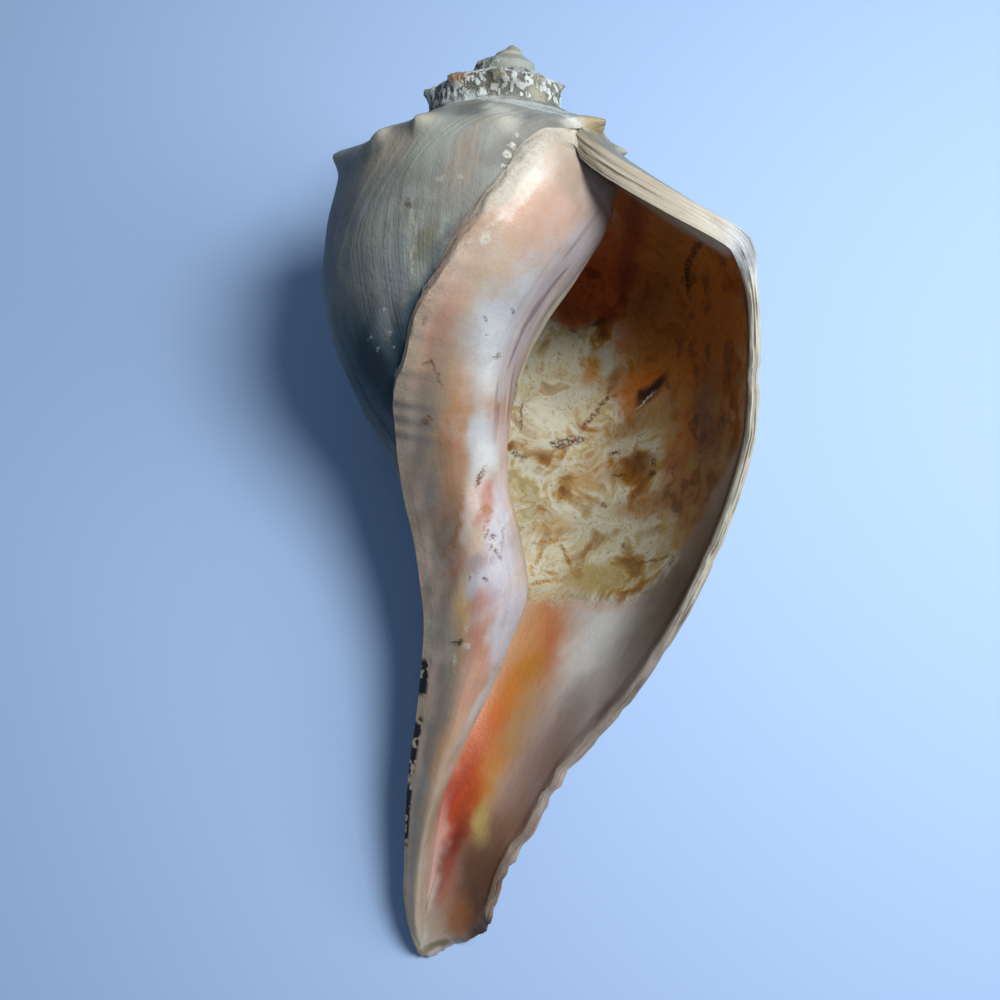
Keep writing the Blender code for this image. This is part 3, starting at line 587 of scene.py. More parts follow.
# A corner is a point with what a face there needs for colour: growth in turns and part,
# then how far it is inside (-1 outside, -0.5 to 0 the cut face, 0 to 1 the mouth, more in
# the tube) and where it is along the edge (-1 to 0 the outer lip, 0 to 1 the inner lip)
point_place = []
point_growth = []
point_part = []
point_outline = []
point_turn = []
point_placed = []
corners = []
faces = []


def add_points(places, growths, parts, outlines, turns, placed):
    first = len(point_growth)
    point_place.extend(np.asarray(places, dtype=float).tolist())
    point_growth.extend(np.asarray(growths, dtype=float).tolist())
    point_part.extend(np.asarray(parts, dtype=float).tolist())
    point_outline.extend(np.asarray(outlines, dtype=float).tolist())
    point_turn.extend([float(turns)] * len(places))
    point_placed.extend([float(placed)] * len(places))
    return np.arange(first, len(point_growth))


def add_corners(points, turns, parts, depths, alongs):
    first = len(corners)
    rows = np.broadcast_arrays(points, turns, parts, depths, alongs)
    corners.extend(zip(*[np.asarray(row).tolist() for row in rows]))
    return np.arange(first, len(corners))


columns = []
for i in range(TURNS * COLUMNS + 1):
    turns, step = divmod(i, COLUMNS)
    growth = COLUMN_ANGLES[step] + TURN * turns
    rows = len(SPIRE_ROWS) + (SIDE_ROWS if i <= COLUMNS else 0)
    growths, parts = column(growth, rows)
    size = shoulder(growths)
    around = outline(growths, parts)
    growths, radius = worn(growth, growths, size * around, size * parts)
    around = radius / shoulder(growths)
    parts = parts * size / shoulder(growths)
    own = rows if i < COLUMNS else rows - 1
    flat = np.stack([growths[:own], parts[:own] * 10.0, np.zeros(own)], axis=-1)
    points = add_points(flat, growths[:own], parts[:own], around[:own], growth / TURN, 0.0)
    if i >= COLUMNS:
        points = np.append(points, corners[columns[i - COLUMNS][0]][0])
    columns.append(add_corners(points, growth / TURN, parts, -1.0, 0.0))
for left, right in zip(columns, columns[1:]):
    if len(left) == len(right):
        faces.extend(np.stack([left[:-1], left[1:], right[1:], right[:-1]], axis=-1).tolist())
    else:
        keys = [np.linspace(0.0, 1.0, len(line)) for line in (left, right)]
        faces.extend(zip_faces(left.tolist(), right.tolist(), keys[0], keys[1]))


def wound(corner):
    """Where a corner of the unwound wall comes to stand."""
    point = corners[corner][0]
    size = float(shoulder(point_growth[point]))
    azimuth = LIP_AZIMUTH - point_growth[point]
    return place(size * point_outline[point], azimuth, size * point_part[point])


last = TURNS * COLUMNS
loop = [columns[i][0] for i in range(last - COLUMNS, last)] + columns[last][1:-1].tolist()
loop_places = np.array([wound(corner) for corner in loop])
apex = place(0.0, 0.0, APEX_DEPTH)
before = np.array(loop)
for share in APEX_RINGS:
    ring = apex + (loop_places - apex) * (1.0 - share)
    ring[:, 1] = apex[1] + (loop_places[:, 1] - apex[1]) * (1.0 - share) ** APEX_CURVE
    points = add_points(ring, np.full(len(ring), TURN * TURNS), np.zeros(len(ring)),
                        np.zeros(len(ring)), TURNS, 1.0)
    after = add_corners(points, float(TURNS), SUTURE_DEPTH, -1.0, 0.0)
    around = np.roll(np.arange(len(ring)), -1)
    faces.extend(np.stack([before, before[around], after[around], after], axis=-1).tolist())
    before = after
top = add_points([apex], [TURN * TURNS], [0.0], [0.0], TURNS, 1.0)
top = add_corners(top, float(TURNS), SUTURE_DEPTH, -1.0, 0.0)[0]
for i in range(len(before)):
    faces.append((before[i], before[(i + 1) % len(before)], top))

shares = COLUMN_ANGLES[1:] / TURN
lip_parts = column(0.0, len(SPIRE_ROWS) + SIDE_ROWS)[1]
steps = (lip_parts - lip_parts[0]) / (lip_parts[-1] - lip_parts[0])
curves = inner_lip_curves(steps, shares)


def eased(ring, middle, times):
    """The ring with the crease between the lip and the canal's floor rubbed out."""
    for reach_there in range(times, 0, -1):
        span = slice(middle - 2 * reach_there, middle + 2 * reach_there)
        before_it = ring[span.start - 1:span.stop - 1]
        after_it = ring[span.start + 1:span.stop + 1]
        ring[span] = (before_it + 2.0 * ring[span] + after_it) / 4.0
    return ring


rings = []
for k in range(MOUTH_RINGS):
    share = k / MOUTH_RINGS
    outer, lip_growth, lip_depth = mouth_side(share, steps)
    inner = across(RING_SHARES, curves, share)
    canal_floor(share, lip_growth, lip_depth, inner, shares)
    ring = eased(np.concatenate([outer, inner]), len(outer), min(k, CREASE_ROUNDS))
    rings.append((ring, FIRST_SECTION * share ** RING_SPACING, share))
for k, growth in enumerate(np.linspace(FIRST_SECTION, TUBE_END, TUBE_RINGS + 1)):
    ring = np.concatenate(tube_section(growth, steps, shares))
    rings.append((ring, growth, 1.0 + k / TUBE_RINGS))
rim = np.concatenate([columns[0], [line[-1] for line in columns[1:COLUMNS]]])
rim_places = np.array([wound(corner) for corner in rim])
outside_behind = np.array([wound(corner) for corner in columns[BEHIND_COLUMN]])
behind = (rings[BEHIND_RINGS[1]][0] + rings[BEHIND_RINGS[0]][0]) / 2.0
behind[:len(steps)] = (behind[:len(steps)] + outside_behind) / 2.0
outward = (rim_places + rings[0][0]) / 2.0 - behind
outward = outward / np.maximum(np.linalg.norm(outward, axis=1), 0.001)[:, None]
along_edge = np.concatenate([steps - 1.0, shares])
edge_steps = np.linalg.norm(np.diff(rings[0][0], axis=0), axis=1)
edge_length = np.concatenate([[0.0], np.cumsum(edge_steps)])
thickness = np.linalg.norm(rim_places - rings[0][0], axis=1)
layers = []
for k, height in enumerate(LIP_LAYERS):
    t = (k + 1) / (len(LIP_LAYERS) + 1)
    uneven = height * (1.0 + ragged(edge_length, (3.0, 40 + k, LAYER_UNEVEN)))
    uneven = uneven + ragged(edge_length, (1.0, 50 + k, LAYER_GRIT))
    height = uneven * np.clip(thickness / FULL_LAYER_WALL, 0.0, 1.0)
    ring = rim_places + (rings[0][0] - rim_places) * t + outward * height[:, None]
    layers.append((ring, 0.0, -0.5 + 0.5 * t))
before = add_corners([corners[corner][0] for corner in rim], 0.0, along_edge, -0.5, along_edge)
before_close = add_corners([corners[rim[0]][0]], 0.0, 1.0, -0.5, 1.0)[0]
for ring, growth, inside in layers + rings:
    points = add_points(ring, np.full(len(ring), growth), np.zeros(len(ring)),
                        np.zeros(len(ring)), growth / TURN, 1.0)
    after = add_corners(points, growth / TURN, along_edge, inside, along_edge)
    after_close = add_corners([points[0]], growth / TURN, 1.0, inside, 1.0)[0]
    old = np.append(before, before_close)
    new = np.append(after, after_close)
    faces.extend(np.stack([old[:-1], old[1:], new[1:], new[:-1]], axis=-1).tolist())
    before = after
    before_close = after_close
outer_side = before[:len(steps)].tolist()
inner_side = [before_close] + before[:len(steps) - 1:-1].tolist()
depths = [[-point_place[corners[c][0]][1] for c in side] for side in (outer_side, inner_side)]
faces.extend(zip_faces(outer_side, inner_side, depths[0], depths[1])[1:])

grown = np.array(point_growth)
part_there = np.array(point_part)
knob_values = {}
for name, turns_on in (("knob", 0), ("covered knob", 1)):
    count = np.interp(grown + TURN * turns_on, KNOB_PLACES, np.arange(len(KNOB_PLACES)))
    knob_values[name + " count"] = count
    knob_values[name + " left"] = np.take(KNOB_HEIGHTS, np.round(count).astype(int))
    knob_values[name + " row"] = outline_row(
        grown + TURN * turns_on, part_there * GROWTH_PER_TURN ** turns_on)
above_start = (part_there - through(SUTURE_PARTS, grown)) / COVERED_FADE
knob_values["covered knob left"] *= (1.0 - smooth(above_start)) / GROWTH_PER_TURN

corner_table = np.array(corners)
face_corners = [corner for face in faces for corner in face]
sheet = bpy.data.meshes.new("shell sheet")
sheet.from_pydata(point_place, [], [[corners[c][0] for c in face] for face in faces])
for name, first in (("whorl", 1), ("side", 3)):
    layer = sheet.uv_layers.new(name=name)
    layer.data.foreach_set("uv", corner_table[face_corners][:, first:first + 2].ravel())
for name, values in (("growth", point_growth), ("part", point_part), ("outline", point_outline),
                     ("turn", point_turn), ("placed", point_placed), *knob_values.items()):
    attribute = sheet.attributes.new(name, "FLOAT", "POINT")
    attribute.data.foreach_set("value", np.asarray(values, dtype=float))
shell = bpy.data.objects.new("whelk_shell", sheet)
bpy.context.scene.collection.objects.link(shell)


# Winding the sheet: the whorls, and the knobs that the animal built on the shoulder each
# time that growth paused. Growth ridges, lumps and chalk crust are raised on the outside.
REST_TURN = Matrix((
    (0.99756405, 0.0, 0.06975647),
    (0.01722978, 0.96901573, -0.24639734),
    (-0.06759512, 0.24699901, 0.96665526)))
winding_sizes = {
    "Shoulder radius": SHOULDER_RADIUS,
    "Growth per turn": GROWTH_PER_TURN,
    "Lip azimuth": LIP_AZIMUTH,
    "Canal bend": BEND,
    "Bend start": BEND_START,
    "Bend length": BEND_LENGTH,
    "Knob step": KNOB_STEP,
    "Knob height": 0.085,
    "Knob width": 6.5,
    "Knob tallness": 0.08,
    "Shoulder depth": SHOULDER_DEPTH,
    "Ridge spacing": 5.0,
    "Ridge height": 0.2,
    "Lump size": 9.0,
    "Lump height": 0.3,
    "Crust height": 0.35,
    "Seed": 7.0,
    "Rest turn": REST_TURN.to_euler(),
    "Apex place": (-0.01137205, 0.09378679, 0.05500878),
    "Unit": 0.001}
# A knob is a sharp point on a broad foot: how fast each falls away, and its share
KNOB_POINT = (-1.4, 0.9)
KNOB_FOOT = (-0.8, 0.5)
KNOB_ROUNDING = 0.06


class Socket:
    def __init__(self, tree, socket):
        self.tree = tree
        self.socket = socket

    def maths(self, operation, *others):
        return node(self.tree, "ShaderNodeMath", {"operation": operation},
                    dict(enumerate((self, *others))))

    def __add__(self, other):
        return self.maths("ADD", other)

    __radd__ = __add__

    def __sub__(self, other):
        return self.maths("SUBTRACT", other)

    def __rsub__(self, other):
        return node(self.tree, "ShaderNodeMath", {"operation": "SUBTRACT"}, {0: other, 1: self})

    def __mul__(self, other):
        return self.maths("MULTIPLY", other)

    __rmul__ = __mul__

    def __truediv__(self, other):
        return self.maths("DIVIDE", other)

    def __pow__(self, other):
        return self.maths("POWER", other)

    def __neg__(self):
        return self.maths("MULTIPLY", -1.0)

    def over(self, low, high, start=0.0, end=1.0):
        """From start to end, smoothly, while this goes from low to high."""
        return node(self.tree, "ShaderNodeMapRange", {"interpolation_type": "SMOOTHSTEP"}, {
            0: self, 1: low, 2: high, 3: start, 4: end})

    def scaled(self, amount):
        return node(self.tree, "ShaderNodeVectorMath", {"operation": "SCALE"}, {
            0: self, "Scale": amount})


def node(tree, kind, settings=None, inputs=None, output=0):
    made = tree.nodes.new(kind)
    for name, value in (settings or {}).items():
        if name == "stops":
            ramp = made.color_ramp
            while len(ramp.elements) < len(value):
                ramp.elements.new(1.0)
            for element, (position, colour) in zip(ramp.elements, value):
                element.position = position
                element.color = colour
        else:
            setattr(made, name, value)
    for name, value in (inputs or {}).items():
        if isinstance(value, Socket):
            tree.links.new(value.socket, made.inputs[name])
        else:
            made.inputs[name].default_value = value
    return Socket(tree, made.outputs[output])


def vector(tree, *values):
    return node(tree, "ShaderNodeCombineXYZ", None, dict(enumerate(values)))


def winding_tree():
    tree = bpy.data.node_groups.new("whelk winding", "GeometryNodeTree")
    tree.interface.new_socket("Geometry", in_out="OUTPUT", socket_type="NodeSocketGeometry")
    kinds = {"Geometry": "Geometry", "Rest turn": "Rotation", "Apex place": "Vector",
             "Shell": "Material"}
    for name in ("Geometry", *winding_sizes):
        kind = "NodeSocket" + kinds.get(name, "Float")
        tree.interface.new_socket(name, in_out="INPUT", socket_type=kind)
    ins = tree.nodes.new("NodeGroupInput")
    outs = tree.nodes.new("NodeGroupOutput")

    def size(name):
        return Socket(tree, ins.outputs[name])

    def stored(name):
        return node(
            tree, "GeometryNodeInputNamedAttribute", {"data_type": "FLOAT"}, {"Name": name})

    growth = stored("growth")
    part = stored("part")
    placed = stored("placed")
    shoulder_here = size("Shoulder radius") * size("Growth per turn") ** (growth * (-1.0 / TURN))
    depth = shoulder_here * part
    outline_here = stored("outline")
    for name in ("knob", "covered knob"):
        count = stored(name + " count")
        along = (count - count.maths("ROUND")) * size("Knob step") / size("Knob width")
        down = (stored(name + " row") - size("Shoulder depth")) / size("Knob tallness")
        away = (along * along + down * down + KNOB_ROUNDING).maths("SQRT")
        point = (away * KNOB_POINT[0]).maths("EXPONENT") * KNOB_POINT[1]
        knob = point + (away * away * KNOB_FOOT[0]).maths("EXPONENT") * KNOB_FOOT[1]
        outline_here = outline_here + size("Knob height") * stored(name + " left") * knob
    radius = shoulder_here * outline_here
    azimuth = (size("Lip azimuth") - growth) * (math.pi / 180.0)
    past_start = ((depth - size("Bend start")) / size("Bend length")).maths("MAXIMUM", 0.0)
    shift = size("Canal bend") * past_start * past_start
    wound_place = vector(
        tree, radius * azimuth.maths("COSINE") + shift, -depth, radius * azimuth.maths("SINE"))
    own_place = node(tree, "GeometryNodeInputPosition")
    place_all = node(tree, "ShaderNodeMix", {"data_type": "VECTOR"}, {
        0: placed, 4: wound_place, 5: own_place}, 1)
    wound_up = node(tree, "GeometryNodeSetPosition", None, {
        "Geometry": size("Geometry"), "Position": place_all})

    here = node(tree, "GeometryNodeInputPosition")
    outside = 1.0 - placed
    seed = size("Seed")
    lines = vector(tree, stored("turn") * TURN / size("Ridge spacing"), part * 0.9, seed)
    ridges = node(tree, "ShaderNodeTexNoise", None, {"Vector": lines, "Scale": 1.0, "Detail": 3.0})
    lumps = node(tree, "ShaderNodeTexNoise", {"noise_dimensions": "4D"}, {
        "Vector": here.scaled(size("Lump size") ** -1.0), "W": seed, "Scale": 1.0, "Detail": 3.0})
    # The crust has grown on the older whorls, apart from the worn apex
    crust_zone = growth.over(395.0, 470.0) * growth.over(1010.0, 900.0)
    grit = node(tree, "ShaderNodeTexNoise", {"noise_dimensions": "4D"}, {
        "Vector": here, "W": seed, "Scale": 0.75, "Detail": 4.0, "Roughness": 0.65})
    crust = grit.over(0.47, 0.56) * crust_zone
    on_points = {"data_type": "FLOAT", "domain": "POINT"}
    crusted = node(tree, "GeometryNodeStoreNamedAttribute", on_points, {
        "Geometry": wound_up, "Name": "crust", "Value": crust * outside})
    raised = (ridges - 0.5) * size("Ridge height") * growth.over(700.0, 380.0) * 2.0
    raised = raised + (lumps - 0.5) * size("Lump height") * 2.0 + crust * size("Crust height")
    raised = raised * outside + (lumps - 0.5) * size("Lump height") * placed * 0.5
    offset = node(tree, "GeometryNodeInputNormal").scaled(raised)
    rough = node(tree, "GeometryNodeSetPosition", None, {"Geometry": crusted, "Offset": offset})
    lying = node(tree, "GeometryNodeTransform", None, {
        "Geometry": rough, "Translation": size("Apex place"), "Rotation": size("Rest turn"),
        "Scale": vector(tree, *[size("Unit")] * 3)})
    real = node(tree, "GeometryNodeRealizeInstances", None, {"Geometry": lying})
    finished = node(tree, "GeometryNodeSetMaterial", None, {
        "Geometry": real, "Material": size("Shell")})
    tree.links.new(finished.socket, outs.inputs["Geometry"])
    return tree


# The shell's surface. Outside it is dull grey lime with growth lines, chalk on the spire and
# a dark stain at the left. The inner lip is cream, salmon and bluish white; inside it is
# amber and maroon above, cream and ochre plates below, then orange and porcelain.
MM_PER_METRE = 1000.0
LINES_PER_TURN = 330.0
BANDS_PER_TURN = 62.0
KNOB_TIP_ALONG = 5.5
KNOB_TIP_DOWN = 12.0
# The plates end this far below the origin (mm), and rise past the bend by its square
PLATES_END = 11.5
PLATES_BEND = 24.0
PLATES_RISE = 0.09
PLATES_RAGGED = 7.0
CHALKY_ROUGHNESS = 0.74
POLISHED_ROUGHNESS = 0.45
POLISHED_COAT = 0.12
COAT_ROUGHNESS = 0.22
RELIEF = 0.0006
RELIEF_STRENGTH = 0.6


def paint(red, green, blue):
    """A colour as it looks on the lit shell, made ready for the renderer."""
    return (*[0.8 * (value / 255.0) ** 2.2 for value in (red, green, blue)], 1.0)


CHALK = paint(220, 230, 230)
CREAM = paint(220, 218, 206)
CREAM_GREY = paint(196, 192, 172)
GREY_GREEN = paint(146, 152, 148)
PALE_GREEN = paint(168, 176, 170)
TAUPE = paint(138, 138, 132)
DARK_TAUPE = paint(112, 110, 108)
BLUE_GREY = paint(128, 138, 150)
TEAL = paint(48, 82, 98)
DEEP_TEAL = paint(20, 44, 60)
BLACK = paint(26, 26, 30)
OLIVE = paint(104, 98, 62)
OLIVE_DARK = paint(62, 56, 36)
TAN = paint(172, 154, 134)
BEIGE = paint(196, 180, 156)
PEACH = paint(220, 188, 168)
PINK = paint(222, 178, 166)
PALE_PINK = paint(222, 202, 196)
SALMON = paint(212, 156, 130)
BLUE_WHITE = paint(208, 216, 226)
BRIGHT_WHITE = paint(240, 244, 246)
MAUVE = paint(168, 146, 148)
MAUVE_DARK = paint(118, 96, 98)
LAVENDER = paint(212, 210, 222)
ORANGE_TAN = paint(208, 150, 98)
ORANGE_BROWN = paint(176, 112, 66)
BRONZE = paint(150, 98, 54)
GOLD_AND_HIGHLIGHT = paint(232, 190, 112)
ROSE = paint(190, 124, 104)
BROWN = paint(112, 72, 44)
DARK_BROWN = paint(70, 40, 26)
MAROON = paint(226, 112, 54)
MAROON_BLACK = paint(48, 14, 12)
AMBER = paint(214, 130, 12)
DARK_AMBER = paint(206, 116, 4)
PLATE_CREAM = paint(232, 230, 208)
PLATE_GREY = paint(206, 204, 186)
RUST = paint(112, 58, 36)
WALL_BROWN = paint(168, 118, 78)
OCHRE = paint(184, 134, 40)
PALE_OCHRE = paint(190, 160, 100)
DEEP_OCHRE = paint(158, 106, 24)
KHAKI = paint(182, 164, 108)
RED_BROWN = paint(150, 66, 30)
ORANGE = paint(224, 124, 28)
DEEP_ORANGE = paint(190, 76, 12)
RED = paint(172, 62, 34)
YELLOW = paint(214, 160, 60)
YELLOW_CREAM = paint(214, 190, 118)
PORCELAIN = paint(196, 190, 190)
PORCELAIN_WHITE = paint(216, 212, 210)
PINK_GREY = paint(182, 156, 146)
WALL_MAUVE = paint(122, 104, 96)
WALL_DARK = paint(84, 72, 64)
MAROON_RED = paint(128, 44, 30)
TAN_BROWN = paint(150, 104, 68)

# Each stain and mark: x and y of its middle, length, width (mm), turn of its length
# (degrees), softness of its edge, strength and colour. Marks turn by steps of MARK_TURN. Some are
# painted shade, shadow or light, as noted above each table.
MARK_TURN = 15
# Among these, the blue-grey at the far left (x -44) and the dark taupe by the left knobs (x -34) are
# painted shade on the side away from the light, and the thin dark lines along the glaze's edge (x
# -10.5, -21 and -23) are its painted shadow.
OUTSIDE_STAINS_AND_SHADE = [
    (-44, 38, 70, 16, 82, 0.8, 0.7, BLUE_GREY), (-17, 58, 17, 15, 60, 0.6, 0.6, TAUPE),
    (-19.6, 63, 15, 9, 60, 0.8, 0.75, PALE_GREEN), (-22, 43, 14, 3.4, 97, 0.6, 0.6, PALE_GREEN),
    (-19.5, 43, 7, 4, 60, 0.6, 0.6, OLIVE), (-34, 58, 14, 7, 70, 0.7, 0.5, DARK_TAUPE),
    (-31, 24, 24, 13, -52, 0.5, 0.85, TEAL), (-29.5, 24.5, 14, 6, -56, 0.5, 0.8, DEEP_TEAL),
    (-26, 36, 14, 4, 75, 0.7, 0.5, BLUE_GREY), (-23, 22, 24, 3.4, 99, 0.5, 0.8, DEEP_TEAL),
    (-21, 34.5, 22, 2.4, 62, 0.8, 0.8, TEAL), (-33, 44, 20, 9, 80, 0.9, 0.5, TAUPE),
    (-28, 60, 12, 5, 40, 0.9, 0.5, BEIGE), (-14, 60, 14, 5, 66, 0.9, 0.5, TAN),
    (-10.5, 51, 22, 1.5, 52, 0.6, 0.75, DARK_TAUPE),
    (-15.5, 68.5, 7, 6, 60, 0.6, 0.7, DARK_TAUPE), (-9.5, 69, 9, 5.0, -75, 0.9, 0.9, CREAM),
    (-11, 62, 5, 4, -75, 0.6, 0.5, PALE_GREEN), (-6, 72.5, 18, 3.0, -12, 0.6, 0.7, PALE_GREEN),
    (-20.5, 72, 10, 2.2, 12, 0.6, 0.5, CREAM_GREY), (-10.5, 89.5, 10, 8, 0, 0.5, 0.8, PALE_GREEN),
    (-12, 31, 20, 1.6, 60, 0.5, 0.7, DARK_TAUPE), (-20.0, 80.3, 4, 3, 40, 0.7, 0.6, BRONZE),
    (-26, 77, 4, 5, 0, 0.6, 0.6, DARK_TAUPE), (-13.0, -31, 9, 3, 85, 0.3, 0.9, BLACK),
    (-13.6, -47, 14, 3.6, 85, 0.3, 0.95, BLACK), (-14.2, -61, 14, 4, 84, 0.3, 0.95, BLACK),
    (4.5, 71, 6, 3, 20, 0.5, 0.7, CREAM)]
SPIRE_STAINS = [
    (-8, 75.0, 26, 2.8, -7, 0.6, 0.9, CHALK), (-21, 74.8, 9, 2.0, 18, 0.6, 0.7, CHALK),
    (-11, 80, 8, 3.6, 0, 0.6, 0.6, OLIVE_DARK), (-10, 84.2, 14, 1.6, 0, 0.6, 0.7, CHALK),
    (-20.3, 80.9, 3.6, 2.6, 30, 0.7, 0.7, BRONZE), (-4.5, 80, 4, 4, 0, 0.6, 0.6, CREAM_GREY),
    (-25.5, 77.5, 4, 4, 0, 0.6, 0.6, DARK_TAUPE), (-10.5, 89.0, 12, 7, 0, 0.6, 0.85, PALE_GREEN),
    (-12, 90.5, 4, 4, 0, 0.8, 0.5, BEIGE),
    (7, 71, 5, 4, 0, 0.6, 0.6, PALE_OCHRE)]
# Among these, the black line at x -5.4, y 59.2 is the painted shadow under the raised edge of the
# glaze.
OUTSIDE_MARKS_AND_SHADOW = [
    (-24.0, 49.8, 1.7, 1.3, -30, 0.4, 0.9, DARK_BROWN),
    (-22.7, 46.5, 5.5, 0.8, 100, 0.6, 0.8, CREAM_GREY),
    (-22.4, 41.0, 6.0, 0.8, 84, 0.6, 0.7, CREAM_GREY),
    (-18.5, 54.2, 2.0, 1.0, 10, 0.6, 0.6, CREAM_GREY),
    (-15.2, 54.6, 1.1, 0.7, 0, 0.6, 0.6, CREAM), (-6.6, 61.6, 1.5, 1.2, 0, 0.4, 1.0, CREAM),
    (-7.4, 60.0, 1.3, 1.0, 20, 0.4, 1.0, CREAM), (-6.4, 58.6, 1.4, 1.1, 60, 0.4, 1.0, CREAM),
    (-7.6, 57.6, 1.0, 0.8, 0, 0.4, 1.0, CREAM), (-5.9, 63.8, 1.0, 0.8, 0, 0.4, 0.9, CREAM),
    (-5.4, 59.2, 5.0, 0.9, 88, 0.4, 1.0, BLACK), (-6.2, 56.6, 1.6, 0.8, 60, 0.4, 0.8, CREAM),
    (-26.5, 29.6, 1.0, 0.7, 0, 0.4, 0.8, BLUE_WHITE), (-28.8, 27.5, 0.8, 0.5, 0, 0.4, 0.8, BLUE_WHITE),
    (-25.3, 27.4, 0.9, 0.6, 40, 0.4, 0.8, BLUE_WHITE), (-30.6, 29.2, 0.7, 0.5, 0, 0.4, 0.7, BLUE_WHITE),
    (-2.4, 72.3, 13, 1.3, -14, 0.6, 0.9, CHALK), (3.4, 69.8, 5, 1.2, -34, 0.6, 0.9, CHALK),
    (-9.5, 74.2, 6, 0.9, -4, 0.6, 0.9, CHALK),
    (-25.0, 23.8, 1.2, 0.7, 60, 0.4, 0.8, BLUE_WHITE), (-27.5, 33.0, 0.8, 0.5, 0, 0.4, 0.7, BLUE_WHITE)]
# Among these, the two gold patches (x -8.4 and -7.8) are golden glaze with a painted highlight, and the
# pale pink at x 10.5, y 57 is painted light on the corner at the top of the fold.
INNER_LIP_STAINS_AND_LIGHT = [
    (3, 64, 18, 9, -72, 0.5, 1.0, CREAM), (-4.6, 57.5, 24, 6.5, 58, 0.5, 0.95, CREAM),
    (6.5, 55, 17, 9, -60, 0.7, 0.85, PINK), (5.4, 59.0, 14, 6, -65, 0.8, 0.8, TAN),
    (0.5, 51.5, 11, 8, 50, 0.6, 0.8, PEACH), (-4.5, 47.4, 16, 7, 48, 0.9, 0.7, SALMON),
    (-11, 46.2, 6, 3.5, 55, 0.8, 0.5, SALMON), (-9, 38.5, 18, 10, 60, 0.7, 0.75, BEIGE),
    (-15.5, 34, 14, 6, 68, 0.6, 0.75, PEACH), (-16.5, 27, 14, 6, 76, 0.6, 0.8, SALMON),
    (5.0, 46.5, 18, 5.5, 58, 0.6, 0.85, BLUE_WHITE), (-1.5, 38, 14, 6.5, 62, 0.6, 0.85, BLUE_WHITE),
    (-7.0, 30, 15, 9, 70, 0.6, 0.95, BLUE_WHITE), (-6.8, 27, 9, 6, 70, 0.9, 0.8, BRIGHT_WHITE),
    (-13.8, 20, 15, 8, 75, 0.9, 0.85, TAN), (-13.6, 18, 16, 5, 75, 0.9, 0.6, ORANGE_TAN),
    (-13.4, 9, 18, 6, 78, 0.9, 0.75, ORANGE_BROWN),
    (-11.8, -3, 18, 5.4, 82, 0.9, 0.95, BRONZE), (-10, -12, 9, 4, 82, 0.9, 0.7, ORANGE_BROWN),
    (-19.3, 14, 22, 4.0, 76, 0.6, 0.85, TAN), (-17.4, 2, 14, 4.0, 76, 0.6, 0.85, TAN),
    (-14.2, -10, 20, 3.2, 78, 0.6, 0.85, TAN), (-12.0, -22, 16, 3.4, 84, 0.8, 0.6, TAUPE),
    (-5.0, 19.5, 8, 4.5, 72, 0.5, 0.95, ORANGE_TAN), (-7.2, 13, 14, 5.6, 84, 0.5, 0.9, BLUE_WHITE),
    (-6.8, 11.0, 6, 3.4, 80, 0.9, 0.75, BRIGHT_WHITE), (-3.0, 12, 16, 2.4, -82, 0.6, 0.8, PALE_PINK),
    (-7.8, 2, 14, 3.4, 80, 0.6, 0.7, PALE_PINK), (-2.4, -2, 18, 5.0, -78, 0.5, 0.95, LAVENDER),
    (-5.4, 3, 9, 2.4, 82, 0.5, 0.85, ROSE), (-3.2, -13, 16, 10, 65, 0.5, 0.95, LAVENDER),
    (-5.0, -9, 6, 3.4, 30, 0.6, 0.7, MAUVE), (-5.0, -16.8, 8, 4, 40, 0.6, 0.75, ROSE),
    (-8.4, -17.2, 10, 3.0, 86, 0.9, 0.75, GOLD_AND_HIGHLIGHT), (-7.8, -25, 12, 3.0, 84, 0.9, 0.7, GOLD_AND_HIGHLIGHT),
    (-3.4, -25, 14, 6.0, 80, 0.9, 0.85, ROSE), (-4.0, -35, 14, 5.4, 74, 0.8, 0.85, SALMON),
    (1.6, -20, 18, 4.4, 76, 0.5, 0.9, LAVENDER), (-1.2, -34, 18, 2.6, 66, 0.5, 0.85, PORCELAIN_WHITE),
    (-5.6, -46, 18, 2.6, 70, 0.7, 0.6, PALE_PINK), (-9.8, -36, 24, 4, 84, 0.6, 0.7, TAN),
    (-9.0, -50, 20, 3.4, 82, 0.9, 0.6, ORANGE_TAN), (-10.4, -62, 18, 3.6, 80, 0.8, 0.7, TAN),
    (-11.6, -48, 34, 2.4, 84, 0.9, 0.55, TAUPE), (10.5, 57, 12, 6, -60, 0.8, 0.9, PALE_PINK)]
